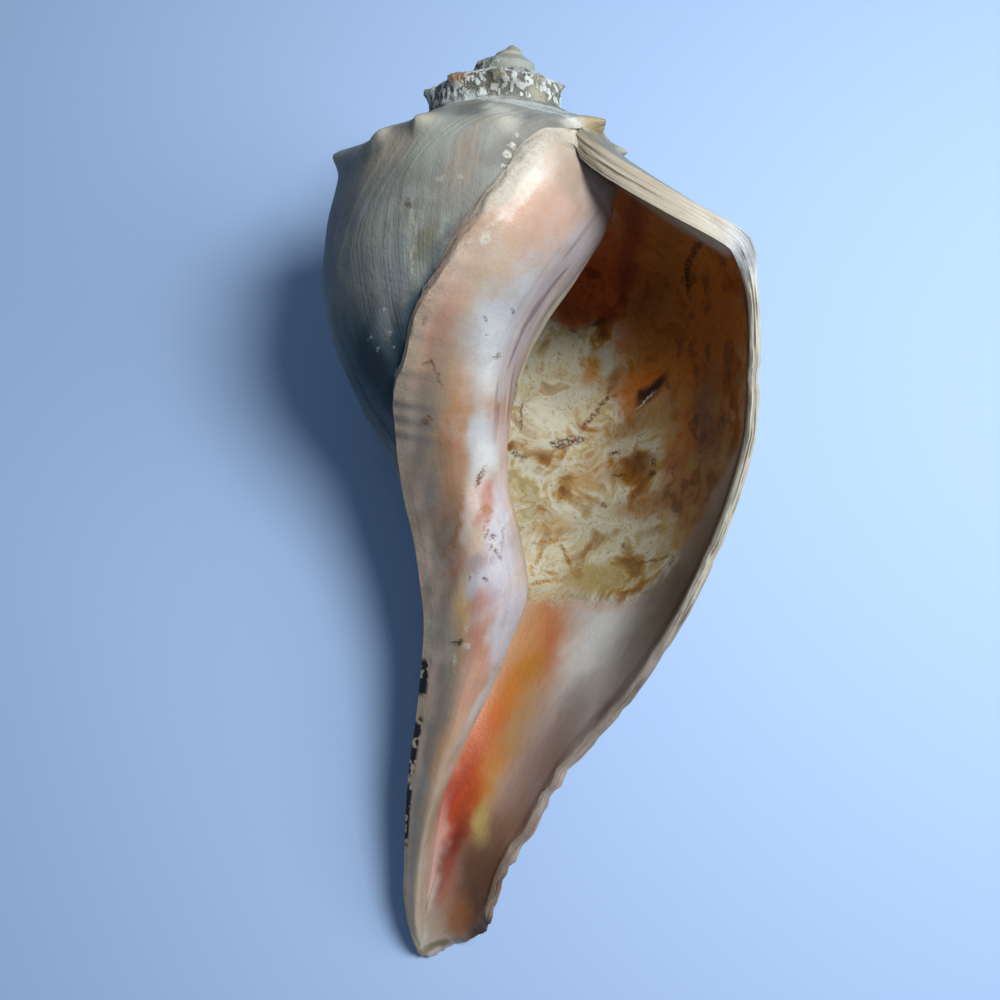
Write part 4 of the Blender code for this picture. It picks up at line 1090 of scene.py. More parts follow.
# Among these, the three cream specks at x -6.3 to -8.4, y -22 to -28 are painted highlights on the gold
# glaze.
INNER_LIP_MARKS_AND_HIGHLIGHTS = [
    (-2.6, 53.6, 13, 0.8, 60, 0.9, 0.6, CREAM), (-7.6, 47.8, 7.5, 0.8, 42, 0.9, 0.6, CREAM),
    (-9.2, 44.6, 2.6, 1.3, 50, 0.5, 0.9, CREAM), (-12.6, 43.4, 3.0, 0.8, 20, 0.6, 0.6, CREAM),
    (-19.4, 31.0, 1.6, 1.1, 40, 0.4, 0.7, DARK_TAUPE), (-8.4, 33.0, 1.0, 0.8, 0, 0.5, 0.7, BROWN),
    (-3.8, 36.3, 0.9, 0.7, 30, 0.4, 0.8, DARK_TAUPE), (-6.1, 28.9, 1.6, 0.5, 50, 0.4, 0.8, MAUVE_DARK),
    (-8.0, 31.0, 0.7, 0.5, 0, 0.4, 0.7, MAUVE_DARK), (-16.8, 23.4, 4.6, 0.6, -58, 0.5, 0.7, BROWN),
    (-18.6, 24.8, 2.2, 0.6, 15, 0.5, 0.6, BROWN), (-18.3, 15.8, 2.4, 1.2, 20, 0.5, 0.7, BROWN),
    (-7.0, 7.2, 4.4, 1.3, 78, 0.4, 0.9, BROWN), (-5.2, 1.4, 2.4, 2.0, 0, 0.4, 1.0, ORANGE_BROWN),
    (-5.0, -1.6, 3.4, 0.9, 80, 0.4, 0.9, ROSE), (-4.6, -3.4, 1.7, 0.8, 80, 0.4, 0.9, MAUVE_DARK),
    (-3.4, -3.6, 1.6, 1.0, 60, 0.4, 0.9, MAUVE_DARK), (-3.0, -6.2, 2.6, 1.2, -50, 0.4, 0.8, BROWN),
    (-1.7, -7.4, 1.6, 0.8, -50, 0.4, 0.8, MAUVE_DARK), (-1.4, -3.6, 6.0, 0.5, 90, 0.5, 0.7, MAUVE),
    (-4.0, -12.2, 1.0, 0.9, 0, 0.4, 0.9, MAUVE_DARK), (-7.0, -12.4, 1.3, 0.6, 60, 0.4, 0.7, MAUVE_DARK),
    (-5.2, -11.2, 0.8, 0.6, 0, 0.4, 0.7, MAUVE_DARK), (-8.3, -25.1, 2.6, 1.3, 10, 0.4, 0.9, DARK_BROWN),
    (-6.6, -22.4, 1.3, 0.8, 90, 0.5, 0.9, CREAM), (-6.3, -25.6, 1.8, 1.0, 20, 0.5, 0.9, CREAM),
    (-8.4, -28.4, 2.4, 0.7, 88, 0.5, 0.8, CREAM), (-2.2, -3.0, 14, 0.5, 82, 0.5, 0.6, CHALK)]
# Among these, the pale cream at x 2, y 42, the last entry, is painted light over the fold's shadow on
# the plates.
LINING_STAINS_AND_LIGHT = [
    (29, 56, 46, 26, -58, 0.45, 0.9, DARK_AMBER), (37, 32, 44, 12, -86, 0.5, 0.9, DARK_AMBER),
    (11, 63, 18, 15, 0, 0.3, 0.97, MAROON), (6.0, 57.4, 10, 6, -10, 0.3, 0.9, MAROON),
    (17.5, 66, 16, 4, -82, 0.5, 0.8, RED_BROWN), (24, 58, 16, 7, 62, 0.8, 0.5, BRONZE),
    (33, 62, 16, 10, -50, 0.6, 0.6, AMBER), (26, 46, 14, 12, 60, 0.6, 0.7, DEEP_OCHRE),
    (2.5, 47, 14, 9, 30, 0.5, 0.9, PLATE_GREY), (2.5, 33, 18, 15, 60, 0.5, 0.9, PLATE_CREAM),
    (8, 38, 12, 9, 60, 0.4, 0.85, PLATE_GREY), (11.8, 44.8, 9, 4.4, 84, 0.5, 0.95, OCHRE),
    (16.2, 46, 6.5, 4.6, 70, 0.35, 0.9, PLATE_GREY), (17.4, 40.8, 7, 4.4, 60, 0.4, 0.85, DEEP_OCHRE),
    (3.2, 42.2, 9, 3.2, -8, 0.4, 0.7, PALE_OCHRE), (-0.4, 38.4, 9, 3.4, 60, 0.4, 0.8, KHAKI),
    (24.5, 39.5, 13, 9, 50, 0.5, 0.85, DARK_AMBER), (26.8, 38.4, 8, 3.0, 52, 0.3, 0.98, MAROON_BLACK),
    (24, 30, 14, 9, 30, 0.5, 0.6, DEEP_OCHRE), (24, 27, 12, 3.6, 24, 0.4, 0.9, PLATE_GREY),
    (26, 22.6, 7.5, 4, 8, 0.35, 0.9, BROWN), (24, 18.8, 9, 3.6, 0, 0.4, 0.8, DEEP_OCHRE),
    (33, 21.6, 6, 4.2, 72, 0.35, 0.9, ORANGE_BROWN), (13, 17.5, 10, 5, 0, 0.35, 0.85, PALE_OCHRE),
    (18.2, 19.6, 4, 3.4, 0, 0.4, 0.8, PLATE_CREAM), (19, 7, 22, 13, 10, 0.6, 0.9, PLATE_GREY),
    (30, 12, 16, 8, 12, 0.5, 0.8, DEEP_OCHRE), (28, 3, 12, 6, 8, 0.5, 0.75, PLATE_GREY),
    (7.5, -4, 13, 14, 0, 0.5, 0.85, PLATE_CREAM), (21, -5.4, 18, 7, 6, 0.4, 0.9, KHAKI),
    (7, 5, 12, 4, 10, 0.4, 0.7, PALE_OCHRE), (36.5, 4, 20, 4, -74, 0.8, 0.6, WALL_BROWN),
    (39, 22, 40, 5, -84, 0.7, 0.7, WALL_MAUVE), (38.5, 10, 24, 9, -76, 0.9, 0.9, WALL_BROWN),
    (17.4, 19.9, 14, 6, 10, 0.9, 0.4, DEEP_OCHRE),
    (7, 57, 12, 5, -20, 0.9, 0.6, BRONZE), (2, 42, 16, 8, 50, 0.9, 0.6, PLATE_CREAM)]
LINING_MARKS = [
    (30.6, 60.6, 8.5, 1.0, -74, 0.4, 0.95, MAROON_BLACK), (16.4, 37.0, 5.0, 1.1, 42, 0.4, 0.9, RUST),
    (13.2, 32.0, 8.0, 1.3, 62, 0.4, 0.9, RUST), (9.4, 26.2, 8.5, 2.2, 12, 0.5, 0.95, RUST),
    (6.6, 24.6, 3.4, 1.4, -10, 0.4, 0.9, DARK_BROWN), (25.6, 36.6, 5.0, 0.6, 50, 0.4, 0.9, PLATE_CREAM),
    (20.0, 24.6, 3.0, 0.7, 30, 0.4, 0.9, DARK_BROWN), (29.0, 21.8, 2.6, 1.2, 84, 0.4, 0.9, DARK_BROWN),
    (28.6, 18.8, 2.0, 1.3, 60, 0.4, 0.9, DARK_BROWN), (21.6, 19.0, 3.4, 0.9, 0, 0.4, 0.8, DARK_BROWN),
    (2.0, 19.6, 12, 1.0, -10, 0.6, 0.7, CREAM), (9.8, 21.0, 7, 1.0, 20, 0.6, 0.7, CREAM),
    (-2.6, 21.4, 4.0, 1.2, -20, 0.4, 0.8, DARK_BROWN), (-3.0, 31.0, 8.0, 0.9, 88, 0.4, 0.8, BROWN),
    (12.6, 55.2, 3.6, 1.5, 10, 0.4, 0.8, DARK_BROWN), (6.8, 53.4, 2.0, 1.0, 0, 0.4, 0.8, DARK_BROWN),
    (5.6, 25.0, 1.6, 1.0, 0, 0.4, 0.8, DARK_BROWN), (9.0, 13.0, 1.8, 0.9, 60, 0.4, 0.8, BROWN),
    (18.6, 11.6, 2.6, 1.6, 0, 0.4, 0.8, BROWN), (24.0, 1.8, 1.8, 1.0, 60, 0.5, 0.7, BROWN),
    (30.0, -1.8, 10.0, 0.6, 12, 0.4, 0.8, BROWN), (7.4, 1.6, 9.0, 1.2, 14, 0.4, 0.9, OCHRE),
    (11.6, -1.4, 6.0, 1.3, -62, 0.4, 0.9, DEEP_OCHRE), (5.4, -2.2, 4.6, 1.2, 70, 0.4, 0.9, OCHRE),
    (6.6, -8.2, 5.4, 1.2, 20, 0.4, 0.9, OCHRE), (4.2, -6.0, 3.0, 0.9, -60, 0.4, 0.9, YELLOW),
    (12.4, -8.4, 5.0, 1.0, 50, 0.4, 0.8, PALE_OCHRE), (9.0, -6.0, 3.4, 0.8, -10, 0.4, 0.8, OCHRE),
    (28.6, -6.4, 3.4, 1.6, 70, 0.5, 0.6, DEEP_OCHRE)]
CANAL_STAINS = [
    (23, -22, 38, 17, 62, 0.6, 0.9, PORCELAIN_WHITE), (21.5, -20, 20, 11, 44, 0.8, 0.95, BRIGHT_WHITE),
    (18.4, -35, 20, 5, 68, 0.6, 0.7, PORCELAIN_WHITE), (36, -9, 42, 12, 64, 0.9, 0.98, WALL_DARK),
    (25, -36, 20, 6, 64, 0.6, 0.8, WALL_MAUVE), (15, -41, 24, 6, 70, 0.6, 0.6, WALL_MAUVE),
    (7.0, -21, 24, 15, 82, 0.7, 0.95, ORANGE_TAN), (9.0, -22, 20, 7, 84, 0.9, 0.5, DEEP_ORANGE),
    (2.6, -32, 34, 5.0, 73, 0.8, 0.8, ORANGE_TAN),
    (18, -12.6, 18, 2.4, 2, 0.6, 0.75, PEACH), (5.0, -31, 14, 6, 68, 0.6, 0.85, OCHRE),
    (2.6, -52, 34, 9, 74, 1.0, 0.7, ORANGE_TAN), (-0.6, -44, 28, 9, 70, 0.9, 0.95, ORANGE),
    (4.8, -42, 20, 6, 72, 0.9, 0.6, PALE_OCHRE),
    (-3.8, -54, 26, 8, 72, 0.8, 0.95, DEEP_ORANGE), (0.0, -57, 18, 4.4, 78, 1.0, 0.5, YELLOW),
    (-7.4, -61, 22, 4.4, 74, 0.8, 0.95, RED), (-3.2, -61, 14, 4.6, 78, 0.9, 0.8, DEEP_ORANGE),
    (9.4, -52, 24, 7, 72, 1.0, 0.8, PINK_GREY), (5.6, -66, 18, 8, 74, 0.9, 0.8, TAN_BROWN),
    (-1.6, -72, 18, 8, 80, 0.9, 0.85, BROWN), (-5.4, -72, 22, 2.8, 82, 0.7, 0.95, MAROON_RED),
    (2.6, -76, 20, 7, 80, 0.9, 0.8, BROWN), (0.4, -62.4, 7, 3.4, 80, 1.0, 0.9, YELLOW_CREAM),
    (-9.2, -71, 22, 3.2, 82, 0.6, 0.85, PINK), (-11.6, -74, 22, 2.6, 84, 0.5, 0.7, PEACH),
    (-5.6, -80, 14, 4.6, 84, 0.9, 0.7, ROSE), (-6.0, -86, 12, 8, 0, 0.9, 0.9, TAN),
    (-1.6, -84, 10, 6, 60, 0.5, 0.85, ORANGE_BROWN), (-11.6, -86.5, 14, 3.4, 100, 0.4, 0.9, CREAM_GREY),
    (-7.6, -91.6, 10, 2.0, 10, 0.4, 0.85, OLIVE), (4.0, -84, 12, 4, 60, 0.5, 0.8, BROWN)]


shell_material = bpy.data.materials.new("whelk shell")
shell_material.use_nodes = True
paint_tree = shell_material.node_tree
surface = paint_tree.nodes["Principled BSDF"]


def painted(kind, settings=None, inputs=None, output=0):
    return node(paint_tree, kind, settings, inputs, output)


def rgb_mix(factor, one, other, blend="MIX"):
    return painted("ShaderNodeMix", {"data_type": "RGBA", "blend_type": blend}, {
        0: factor, 6: one, 7: other}, 2)


def grey(value):
    return painted("ShaderNodeCombineColor", None, {0: value, 1: value, 2: value})


def parts_of(kind, value):
    split = painted(kind, None, {0: value})
    return [Socket(paint_tree, output) for output in split.socket.node.outputs]


def noise_at(place_there, scale, detail=3.0, roughness=0.5, distortion=0.0, output=0):
    return painted("ShaderNodeTexNoise", None, {
        "Vector": place_there, "Scale": scale, "Detail": detail, "Roughness": roughness,
        "Distortion": distortion}, output)


def stored_value(name):
    return painted("ShaderNodeAttribute", {"attribute_name": name}, None, 2)


def wavy(start, ripples):
    """The place, moved about by noises, so that what is laid there gets uneven edges."""
    moved = start
    for scale, amount, detail in ripples:
        ripple = noise_at(start, scale, detail, output=1)
        channels = parts_of("ShaderNodeSeparateColor", ripple)
        moves = [(channel - 0.5) * amount for channel in channels]
        moved = painted("ShaderNodeVectorMath", {"operation": "ADD"}, {
            0: moved, 1: vector(paint_tree, *moves)})
    return moved


def marked(colour, marks):
    """The colour with the marks on it, painted shadow and highlights among them, where the surface
    isn't worn.
    """
    bare = colour
    turned = {}
    for x, y, length, width, turn, softness, strength, mark in marks:
        aim = math.radians(MARK_TURN * round(turn / MARK_TURN))
        ahead = Vector((math.cos(aim), math.sin(aim), 0.0))
        aside = Vector((-math.sin(aim), math.cos(aim), 0.0))
        if aim not in turned:
            turned[aim] = vector(paint_tree, *[
                painted("ShaderNodeVectorMath", {"operation": "DOT_PRODUCT"}, {
                    0: mark_place, 1: direction}, 1) for direction in (ahead, aside)])
        middle = Vector((x, y, 0.0))
        size = Vector((2.0 / length, 2.0 / width, 0.0))
        start = Vector((-size.x * middle.dot(ahead), -size.y * middle.dot(aside), 0.0))
        from_middle = painted("ShaderNodeVectorMath", {"operation": "MULTIPLY_ADD"}, {
            0: turned[aim], 1: size, 2: start})
        far = painted("ShaderNodeVectorMath", {"operation": "LENGTH"}, {0: from_middle}, 1)
        covered = far.over(1.0 + softness, 1.0 - softness, 0.0, strength)
        colour = rgb_mix(covered, colour, mark)
    return rgb_mix(unworn, bare, colour)


def stained(colour, name):
    """The colour under the stains, painted shade and painted light that the mesh keeps under this name.
    """
    stain = painted("ShaderNodeAttribute", {"attribute_name": name})
    covered = Socket(paint_tree, stain.socket.node.outputs["Alpha"])
    return rgb_mix(covered, colour, stain)


def lay_stains(mesh, places, name, stains):
    """Keep the colour of the stains, painted shade and painted light on the mesh, and how far it covers
    what lies under it.
    """
    colour = np.zeros((len(places), 3))
    bare = np.ones(len(places))
    for x, y, length, width, turn, softness, strength, stain in stains:
        aim = math.radians(turn)
        right = places[:, 0] - x
        up = places[:, 1] - y
        along = (right * math.cos(aim) + up * math.sin(aim)) * 2 / length
        aside = (up * math.cos(aim) - right * math.sin(aim)) * 2 / width
        far = np.hypot(along, aside)
        share = strength * smooth((1.0 + softness - far) / (2.0 * softness))
        colour = colour * (1.0 - share)[:, None] + np.array(stain[:3]) * share[:, None]
        bare = bare * (1.0 - share)
    covered = 1.0 - bare
    colour = colour / np.maximum(covered, 0.001)[:, None]
    layer = mesh.attributes.new(name, "FLOAT_COLOR", "POINT")
    layer.data.foreach_set("color", np.column_stack([colour, covered]).ravel())


place_mm = painted("ShaderNodeTexCoord", None, None, 3).scaled(MM_PER_METRE)
across_mm, up_mm, height = parts_of("ShaderNodeSeparateXYZ", place_mm)
mark_place = wavy(place_mm, [(0.5, 1.4, 1.0), (2.2, 0.9, 1.0)])
side_uv = painted("ShaderNodeUVMap", {"uv_map": "side"})
inside, along_lip = parts_of("ShaderNodeSeparateXYZ", side_uv)[:2]
whorl_uv = painted("ShaderNodeUVMap", {"uv_map": "whorl"})
grown_turns, part_here = parts_of("ShaderNodeSeparateXYZ", whorl_uv)[:2]
grown_degrees = stored_value("growth")
broad = noise_at(place_mm, 0.07, 2.0)
grain = noise_at(place_mm, 1.1, 3.0, 0.65)
speckle = noise_at(place_mm, 2.6, 1.0, 0.6)
unworn = noise_at(place_mm, 1.7, 2.0, 0.6).over(0.36, 0.58, 0.25, 1.0)
patches = noise_at(place_mm, 0.13, 4.0, 0.6)

# Outside: grey lime in patches, with the bands and fine lines of its growth
line_place = vector(paint_tree, grown_turns * LINES_PER_TURN, part_here * 1.6, 0.0)
growth_lines = noise_at(line_place, 1.0, 2.0, 0.6)
band_place = vector(paint_tree, grown_turns * BANDS_PER_TURN, part_here * 0.9, 3.0)
growth_bands = noise_at(band_place, 1.0, 2.0)
outside_colour = rgb_mix(broad.over(0.4, 0.62), GREY_GREEN, TAUPE)
for covered, coat in (
        (patches.over(0.5, 0.62) * 0.6, PALE_GREEN),
        (patches.over(0.47, 0.36) * 0.5, DARK_TAUPE),
        (growth_bands.over(0.45, 0.75, 0.0, 0.25), PALE_GREEN),
        (growth_bands.over(0.5, 0.3, 0.0, 0.2), DARK_TAUPE)):
    outside_colour = rgb_mix(covered, outside_colour, coat)
outside_colour = stained(outside_colour, "outside stains")
lines_seen = part_here.over(1.0, 1.7, 0.12, 0.4)
line_shade = grey(growth_lines.over(0.3, 0.7, 0.72, 1.2))
outside_colour = rgb_mix(lines_seen, outside_colour, line_shade, "MULTIPLY")

# The knobs' tips are worn pale
knob_step = stored_value("knob count")
knob_along = (knob_step - knob_step.maths("ROUND")) * KNOB_TIP_ALONG
knob_down = (stored_value("knob row") - SHOULDER_DEPTH) * KNOB_TIP_DOWN
from_knob = (knob_along * knob_along + knob_down * knob_down).maths("SQRT")
knob_tip = from_knob.over(1.5, 0.4) * stored_value("knob left").over(0.2, 0.8)
outside_colour = rgb_mix(knob_tip * 0.75, outside_colour, CREAM_GREY)

# The spire is olive and taupe under a net of chalk
chalk_zone = grown_degrees.over(385.0, 430.0) * grown_degrees.over(1040.0, 960.0)
chalk = (stored_value("crust") * 0.35 + grain).over(0.56, 0.74)
old_whorl = rgb_mix(speckle.over(0.36, 0.56), OLIVE, TAUPE)
old_whorl = rgb_mix(patches.over(0.46, 0.56) * 0.6, old_whorl, DARK_TAUPE)
old_whorl = rgb_mix(chalk, old_whorl, CHALK)
outside_colour = rgb_mix(chalk_zone * knob_tip.over(0.9, 0.2), outside_colour, old_whorl)
outside_colour = stained(outside_colour, "spire stains")
outside_colour = marked(outside_colour, OUTSIDE_MARKS_AND_SHADOW)

# The inner lip, streaked along its length, with wrinkles by the fold and a worn edge
inner_lip = rgb_mix(broad.over(0.35, 0.65), PEACH, BEIGE)
inner_lip = stained(inner_lip, "inner lip stains")
inner_lip = rgb_mix((grain - 0.5).maths("ABSOLUTE") * 0.9, inner_lip, TAN)
wrinkles = noise_at(vector(paint_tree, inside * 34.0, along_lip * 9.0, 5.0), 1.0, 1.0)
by_fold = inside.over(0.42, 0.5) * along_lip.over(0.66, 0.74)
# The mauve fades near the top of the fold: painted light on that corner.
by_fold = by_fold * along_lip.over(0.94, 0.86, 0.3, 1.0)
for covered, coat in (
        (by_fold * 0.6, MAUVE),
        (by_fold * wrinkles.over(0.56, 0.64) * 0.6, MAUVE_DARK),
        (by_fold * wrinkles.over(0.44, 0.36) * 0.6, PALE_PINK),
        (inside.over(0.13, 0.02) * grain.over(0.4, 0.62) * 0.3, TAN),
        (inside.over(0.06, 0.01) * speckle.over(0.5, 0.7) * 0.3, BROWN),
        (patches.over(0.5, 0.66) * 0.25, TAN),
        (patches.over(0.5, 0.34) * 0.2, PORCELAIN_WHITE)):
    inner_lip = rgb_mix(covered, inner_lip, coat)
bands = [up_mm.over(low - 1.5, low) * up_mm.over(high + 1.5, high)
         for low, high in ((-36.0, -30.0), (-53.0, -42.0), (-68.0, -56.0))]
black_edge = (bands[0] + bands[1] + bands[2]) * noise_at(place_mm, 0.5, 1.0).over(0.38, 0.46)
inner_lip = rgb_mix(black_edge * inside.over(0.07, 0.04), inner_lip, BLACK)
streaks = noise_at(vector(paint_tree, inside * 38.0, along_lip * 22.0, 9.0), 1.0, 3.0, 0.6)
streak_shade = grey(streaks.over(0.32, 0.68, 0.84, 1.05))
inner_lip = rgb_mix(along_lip.over(0.75, 0.6, 0.2, 0.6), inner_lip, streak_shade, "MULTIPLY")
inner_lip = marked(inner_lip, INNER_LIP_MARKS_AND_HIGHLIGHTS)

# The lining behind the mouth: thin plates of lime with brown between them, and cracks
plates = noise_at(place_mm, 0.1, 4.0, 0.55, 0.6)
lining = painted("ShaderNodeValToRGB", {"stops": [
    (0.36, DEEP_OCHRE), (0.43, PALE_OCHRE), (0.47, PLATE_GREY), (0.52, PLATE_CREAM),
    (0.57, KHAKI), (0.62, PLATE_GREY), (0.70, OCHRE)]}, {0: plates})
lining = stained(lining, "lining stains")
plate_shade = painted("ShaderNodeValToRGB", {"stops": [
    (0.34, (0.45, 0.30, 0.14, 1.0)), (0.41, (0.78, 0.60, 0.34, 1.0)),
    (0.45, (1.0, 0.98, 0.92, 1.0)), (0.505, (1.0, 1.0, 1.0, 1.0)),
    (0.52, (0.72, 0.56, 0.34, 1.0)), (0.535, (0.95, 0.84, 0.62, 1.0)),
    (0.59, (1.0, 1.0, 0.98, 1.0)), (0.64, (0.80, 0.62, 0.36, 1.0)),
    (0.72, (0.52, 0.34, 0.16, 1.0))]}, {0: plates})
lining = rgb_mix(patches.over(0.38, 0.62, 0.3, 0.9), lining, plate_shade, "MULTIPLY")
cracks = (noise_at(place_mm, 0.33, 2.0, 0.6) - 0.5).maths("ABSOLUTE").over(0.014, 0.004)
to_the_right = across_mm.over(24.0, 32.0) * up_mm.over(46.0, 30.0)
# The last coat darkens the lining towards the right in brown patches: painted shade of the lip, laid in
# patches.
for covered, coat in (
        (cracks * grain.over(0.42, 0.56) * 0.5, BROWN),
        (to_the_right * patches.over(0.5, 0.6) * 0.5, PALE_OCHRE),
        (across_mm.over(20.0, 30.0) * patches.over(0.44, 0.36) * 0.5, DARK_BROWN)):
    lining = rgb_mix(covered, lining, coat)
lining = marked(lining, LINING_MARKS)

# The canal's porcelain, which starts below a ragged line across the plates
canal = rgb_mix(broad.over(0.35, 0.65), PINK_GREY, PORCELAIN)
canal = stained(canal, "canal stains")
canal = rgb_mix(0.45, canal, streak_shade, "MULTIPLY")
right_of_bend = (across_mm - PLATES_BEND).maths("MAXIMUM", 0.0)
below_plates = right_of_bend * right_of_bend * PLATES_RISE - PLATES_END - up_mm
below_plates = below_plates + (noise_at(place_mm, 0.25, 4.0) - 0.5) * PLATES_RAGGED
mouth_colour = rgb_mix(below_plates.over(-2.4, 2.8), lining, canal)
on_inner_lip = along_lip.over(0.1, 0.17) * inside.over(0.68, 0.58)
mouth_colour = rgb_mix(on_inner_lip, mouth_colour, inner_lip)

# The rim of the outer lip, where the layers of the wall end
layer_place = vector(paint_tree, inside * 40.0, along_lip * 30.0, 1.0)
layer_lines = noise_at(layer_place, 1.0, 2.0)
rim_zone = inside.over(0.045, 0.02) * along_lip.over(0.02, -0.02)
rim_zone = rim_zone * along_lip.over(-0.36, -0.5, 0.25, 1.0)
upper_lip = along_lip.over(-0.9, -0.93) * height.over(44.0, 50.0) * inside.over(0.5, 0.42)
rim_colour = rgb_mix(layer_lines.over(0.4, 0.62), CREAM, CREAM_GREY)
# The bright white at x 31 to 36, y 48 to 53 on the upper lip is painted light where that part is
# shaded.
for covered, coat in (
        (layer_lines.over(0.6, 0.7) * 0.6, TAN),
        (patches.over(0.52, 0.66) * 0.4, PINK_GREY),
        (upper_lip * across_mm.over(34.0, 18.0) * 0.6, TAN),
        (across_mm.over(31.0, 36.0) * up_mm.over(48.0, 53.0) * 0.7, BRIGHT_WHITE)):
    rim_colour = rgb_mix(covered, rim_colour, coat)
mouth_colour = rgb_mix(rim_zone.maths("MAXIMUM", upper_lip), mouth_colour, rim_colour)
dark_line = inside.over(0.03, 0.04) * inside.over(0.09, 0.05)
dark_line = dark_line * along_lip.over(-0.88, -0.84) * along_lip.over(-0.5, -0.6)
mouth_colour = rgb_mix(dark_line * 0.8, mouth_colour, DARK_BROWN)

is_inside = inside.over(-0.76, -0.74)
shell_colour = rgb_mix(is_inside, outside_colour, mouth_colour)
polished = is_inside * on_inner_lip.maths("MAXIMUM", below_plates.over(-0.6, 0.8))
polished = polished * inside.over(0.05, 0.12)
roughness = polished.over(0.0, 1.0, CHALKY_ROUGHNESS, POLISHED_ROUGHNESS)
roughness = roughness + (grain - 0.5) * 0.25
raised = growth_lines * lines_seen * (1.0 - is_inside)
raised = raised + grain * is_inside.over(0.0, 1.0, 0.45, 0.25)
raised = raised + chalk * chalk_zone * (1.0 - is_inside) * 0.8 + layer_lines * rim_zone * 0.8
raised = raised + plates * (is_inside - polished) * 1.2
bump = painted("ShaderNodeBump", None, {
    "Height": raised, "Distance": RELIEF, "Strength": RELIEF_STRENGTH})
for name, value in (("Base Color", shell_colour), ("Roughness", roughness),
                    ("Coat Weight", polished * POLISHED_COAT), ("Normal", bump)):
    paint_tree.links.new(value.socket, surface.inputs[name])
surface.inputs["Coat Roughness"].default_value = COAT_ROUGHNESS


# The finished shell: the sheet is wound up, laid on its back and made one closed mesh, and
# the soft stains, with some painted shade and light, are laid on it. Nothing holds it, because it grew
# as one piece.
MERGE_DISTANCE = 1e-7
STAIN_RIPPLES = ((8.0, 1.6), (2.2, 0.8))
STAIN_SEED = 7
CREASE = 55.0
winding_sizes["Shell"] = shell_material
winding = shell.modifiers.new("winding", "NODES")
winding.node_group = winding_tree()
for item in winding.node_group.interface.items_tree:
    if item.in_out == "INPUT" and item.name in winding_sizes:
        winding[item.identifier] = winding_sizes[item.name]
shell.update_tag()
evaluated = shell.evaluated_get(bpy.context.evaluated_depsgraph_get())
finished_mesh = bpy.data.meshes.new_from_object(evaluated)
shell.modifiers.clear()
shell.data = finished_mesh
work = bmesh.new()
work.from_mesh(finished_mesh)
low, high = cad_box
for vertex in work.verts:
    for axis in range(3):
        vertex.co[axis] = min(max(vertex.co[axis], low[axis]), high[axis])
# A loose corner at the apex is moved onto its neighbour, and merges with it
for vertex in work.verts:
    if all(len(edge.link_faces) == 1 for edge in vertex.link_edges):
        vertex.co = vertex.link_edges[0].other_vert(vertex).co
bmesh.ops.remove_doubles(work, verts=work.verts, dist=MERGE_DISTANCE)
bmesh.ops.recalc_face_normals(work, faces=work.faces)
work.to_mesh(finished_mesh)
work.free()
finished_mesh.shade_smooth()
places = np.zeros(len(finished_mesh.vertices) * 3)
finished_mesh.vertices.foreach_get("co", places)
places = places.reshape(-1, 3) * MM_PER_METRE
uneven = places[:, :2].copy()
noise.seed_set(STAIN_SEED)
for spacing, amount in STAIN_RIPPLES:
    moves = [noise.noise_vector(Vector(place) / spacing) for place in places]
    uneven = uneven + np.array(moves)[:, :2] * amount
for name, stains in (("outside stains", OUTSIDE_STAINS_AND_SHADE), ("spire stains", SPIRE_STAINS),
                     ("inner lip stains", INNER_LIP_STAINS_AND_LIGHT), ("lining stains", LINING_STAINS_AND_LIGHT),
                     ("canal stains", CANAL_STAINS)):
    lay_stains(finished_mesh, uneven, name, stains)
finished_mesh.set_sharp_from_angle(angle=math.radians(CREASE))

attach(shell, "root")
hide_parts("shell")


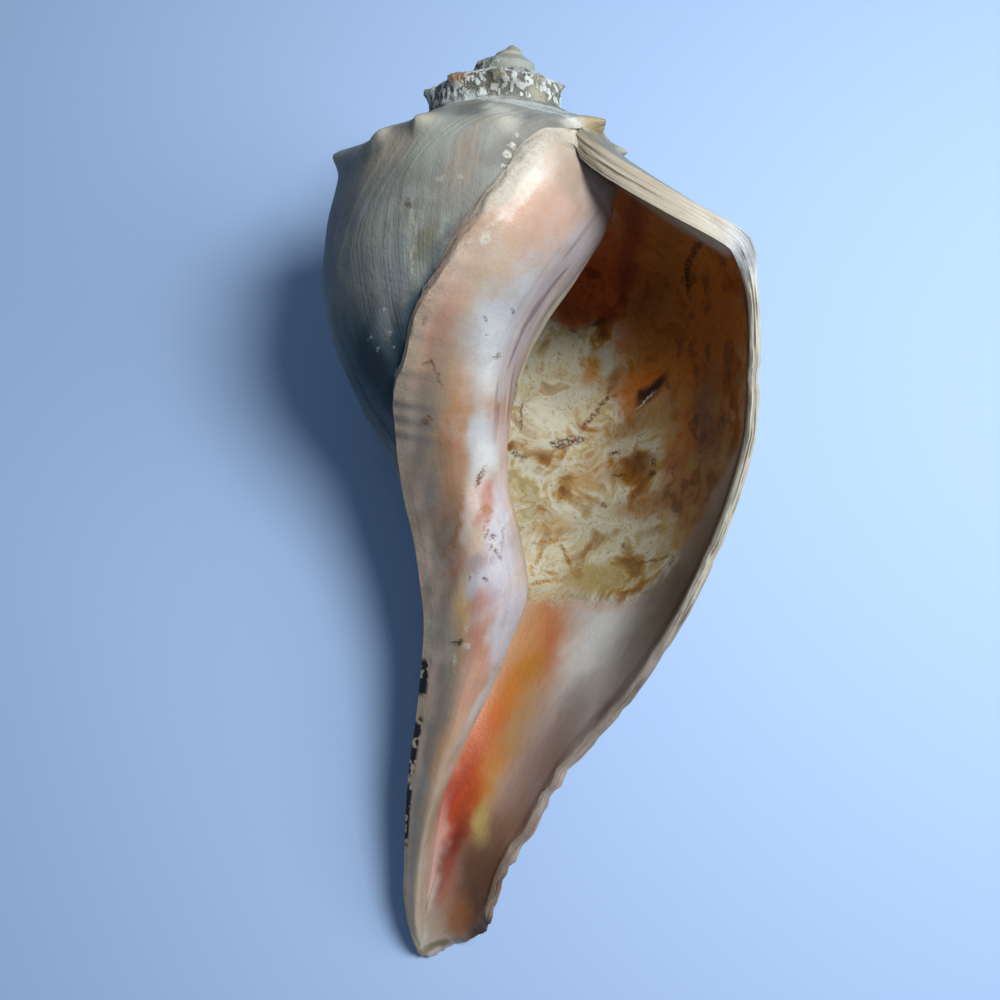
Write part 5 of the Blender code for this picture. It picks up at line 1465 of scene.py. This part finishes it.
# The studio: a plain pale floor, a soft light from the upper right with a weaker one beside
# it, and a camera nearly above the shell.
FLOOR_HALF = 3.0
FLOOR_COLOUR = (0.425, 0.61, 0.95, 1.0)
FLOOR_ROUGHNESS = 0.7
SKY_COLOUR = (0.64, 0.81, 1.0, 1.0)
SKY_STRENGTH = 0.165
LIT_PLACE = (0.0, 0.0, 0.03)
CAMERA_PLACE = Vector((0.01137279, -0.03080465, 0.2417345))
CAMERA_FORWARD = Vector((-0.0695347, 0.16840547, -0.98326218))
CAMERA_UP = Vector((-0.11992325, 0.97708884, 0.17582893))
CAMERA_ANGLE = 52.0
CAMERA_NEAR = 0.01
floor_mesh = bpy.data.meshes.new("floor")
floor_corners = [(x * FLOOR_HALF, y * FLOOR_HALF, 0.0)
                 for x, y in ((-1, -1), (1, -1), (1, 1), (-1, 1))]
floor_mesh.from_pydata(floor_corners, [], [(0, 1, 2, 3)])
floor = bpy.data.objects.new("floor", floor_mesh)
bpy.context.scene.collection.objects.link(floor)
paper = bpy.data.materials.new("pale floor")
paper.use_nodes = True
paper_surface = paper.node_tree.nodes["Principled BSDF"]
paper_surface.inputs["Base Color"].default_value = FLOOR_COLOUR
paper_surface.inputs["Roughness"].default_value = FLOOR_ROUGHNESS
floor_mesh.materials.append(paper)

world = bpy.data.worlds.new("studio")
world.use_nodes = True
sky = world.node_tree.nodes["Background"]
sky.inputs["Color"].default_value = SKY_COLOUR
sky.inputs["Strength"].default_value = SKY_STRENGTH
bpy.context.scene.world = world


def area_light(name, at, width, watts, colour):
    lamp = bpy.data.lights.new(name, "AREA")
    lamp.shape = "DISK"
    lamp.size = width
    lamp.energy = watts
    lamp.color = colour
    holder = bpy.data.objects.new(name, lamp)
    holder.location = at
    direction = Vector(LIT_PLACE) - Vector(at)
    holder.rotation_euler = direction.to_track_quat("-Z", "Y").to_euler()
    bpy.context.scene.collection.objects.link(holder)


area_light("window", (0.16, 0.09, 0.36), 0.15, 1.28, (1.0, 0.99, 0.96))
area_light("side window", (0.40, 0.06, 0.35), 0.3, 0.86, (1.0, 1.0, 0.98))

camera = bpy.data.objects.new("camera", bpy.data.cameras.new("camera"))
right = CAMERA_FORWARD.cross(CAMERA_UP).normalized()
upright = right.cross(CAMERA_FORWARD).normalized()
turned = Matrix((right, upright, -CAMERA_FORWARD)).transposed().to_4x4()
camera.matrix_world = Matrix.Translation(CAMERA_PLACE) @ turned
camera.data.sensor_fit = "HORIZONTAL"
camera.data.angle = math.radians(CAMERA_ANGLE)
camera.data.clip_start = CAMERA_NEAR
bpy.context.scene.collection.objects.link(camera)
bpy.context.scene.camera = camera
bpy.context.scene.view_settings.view_transform = "Standard"
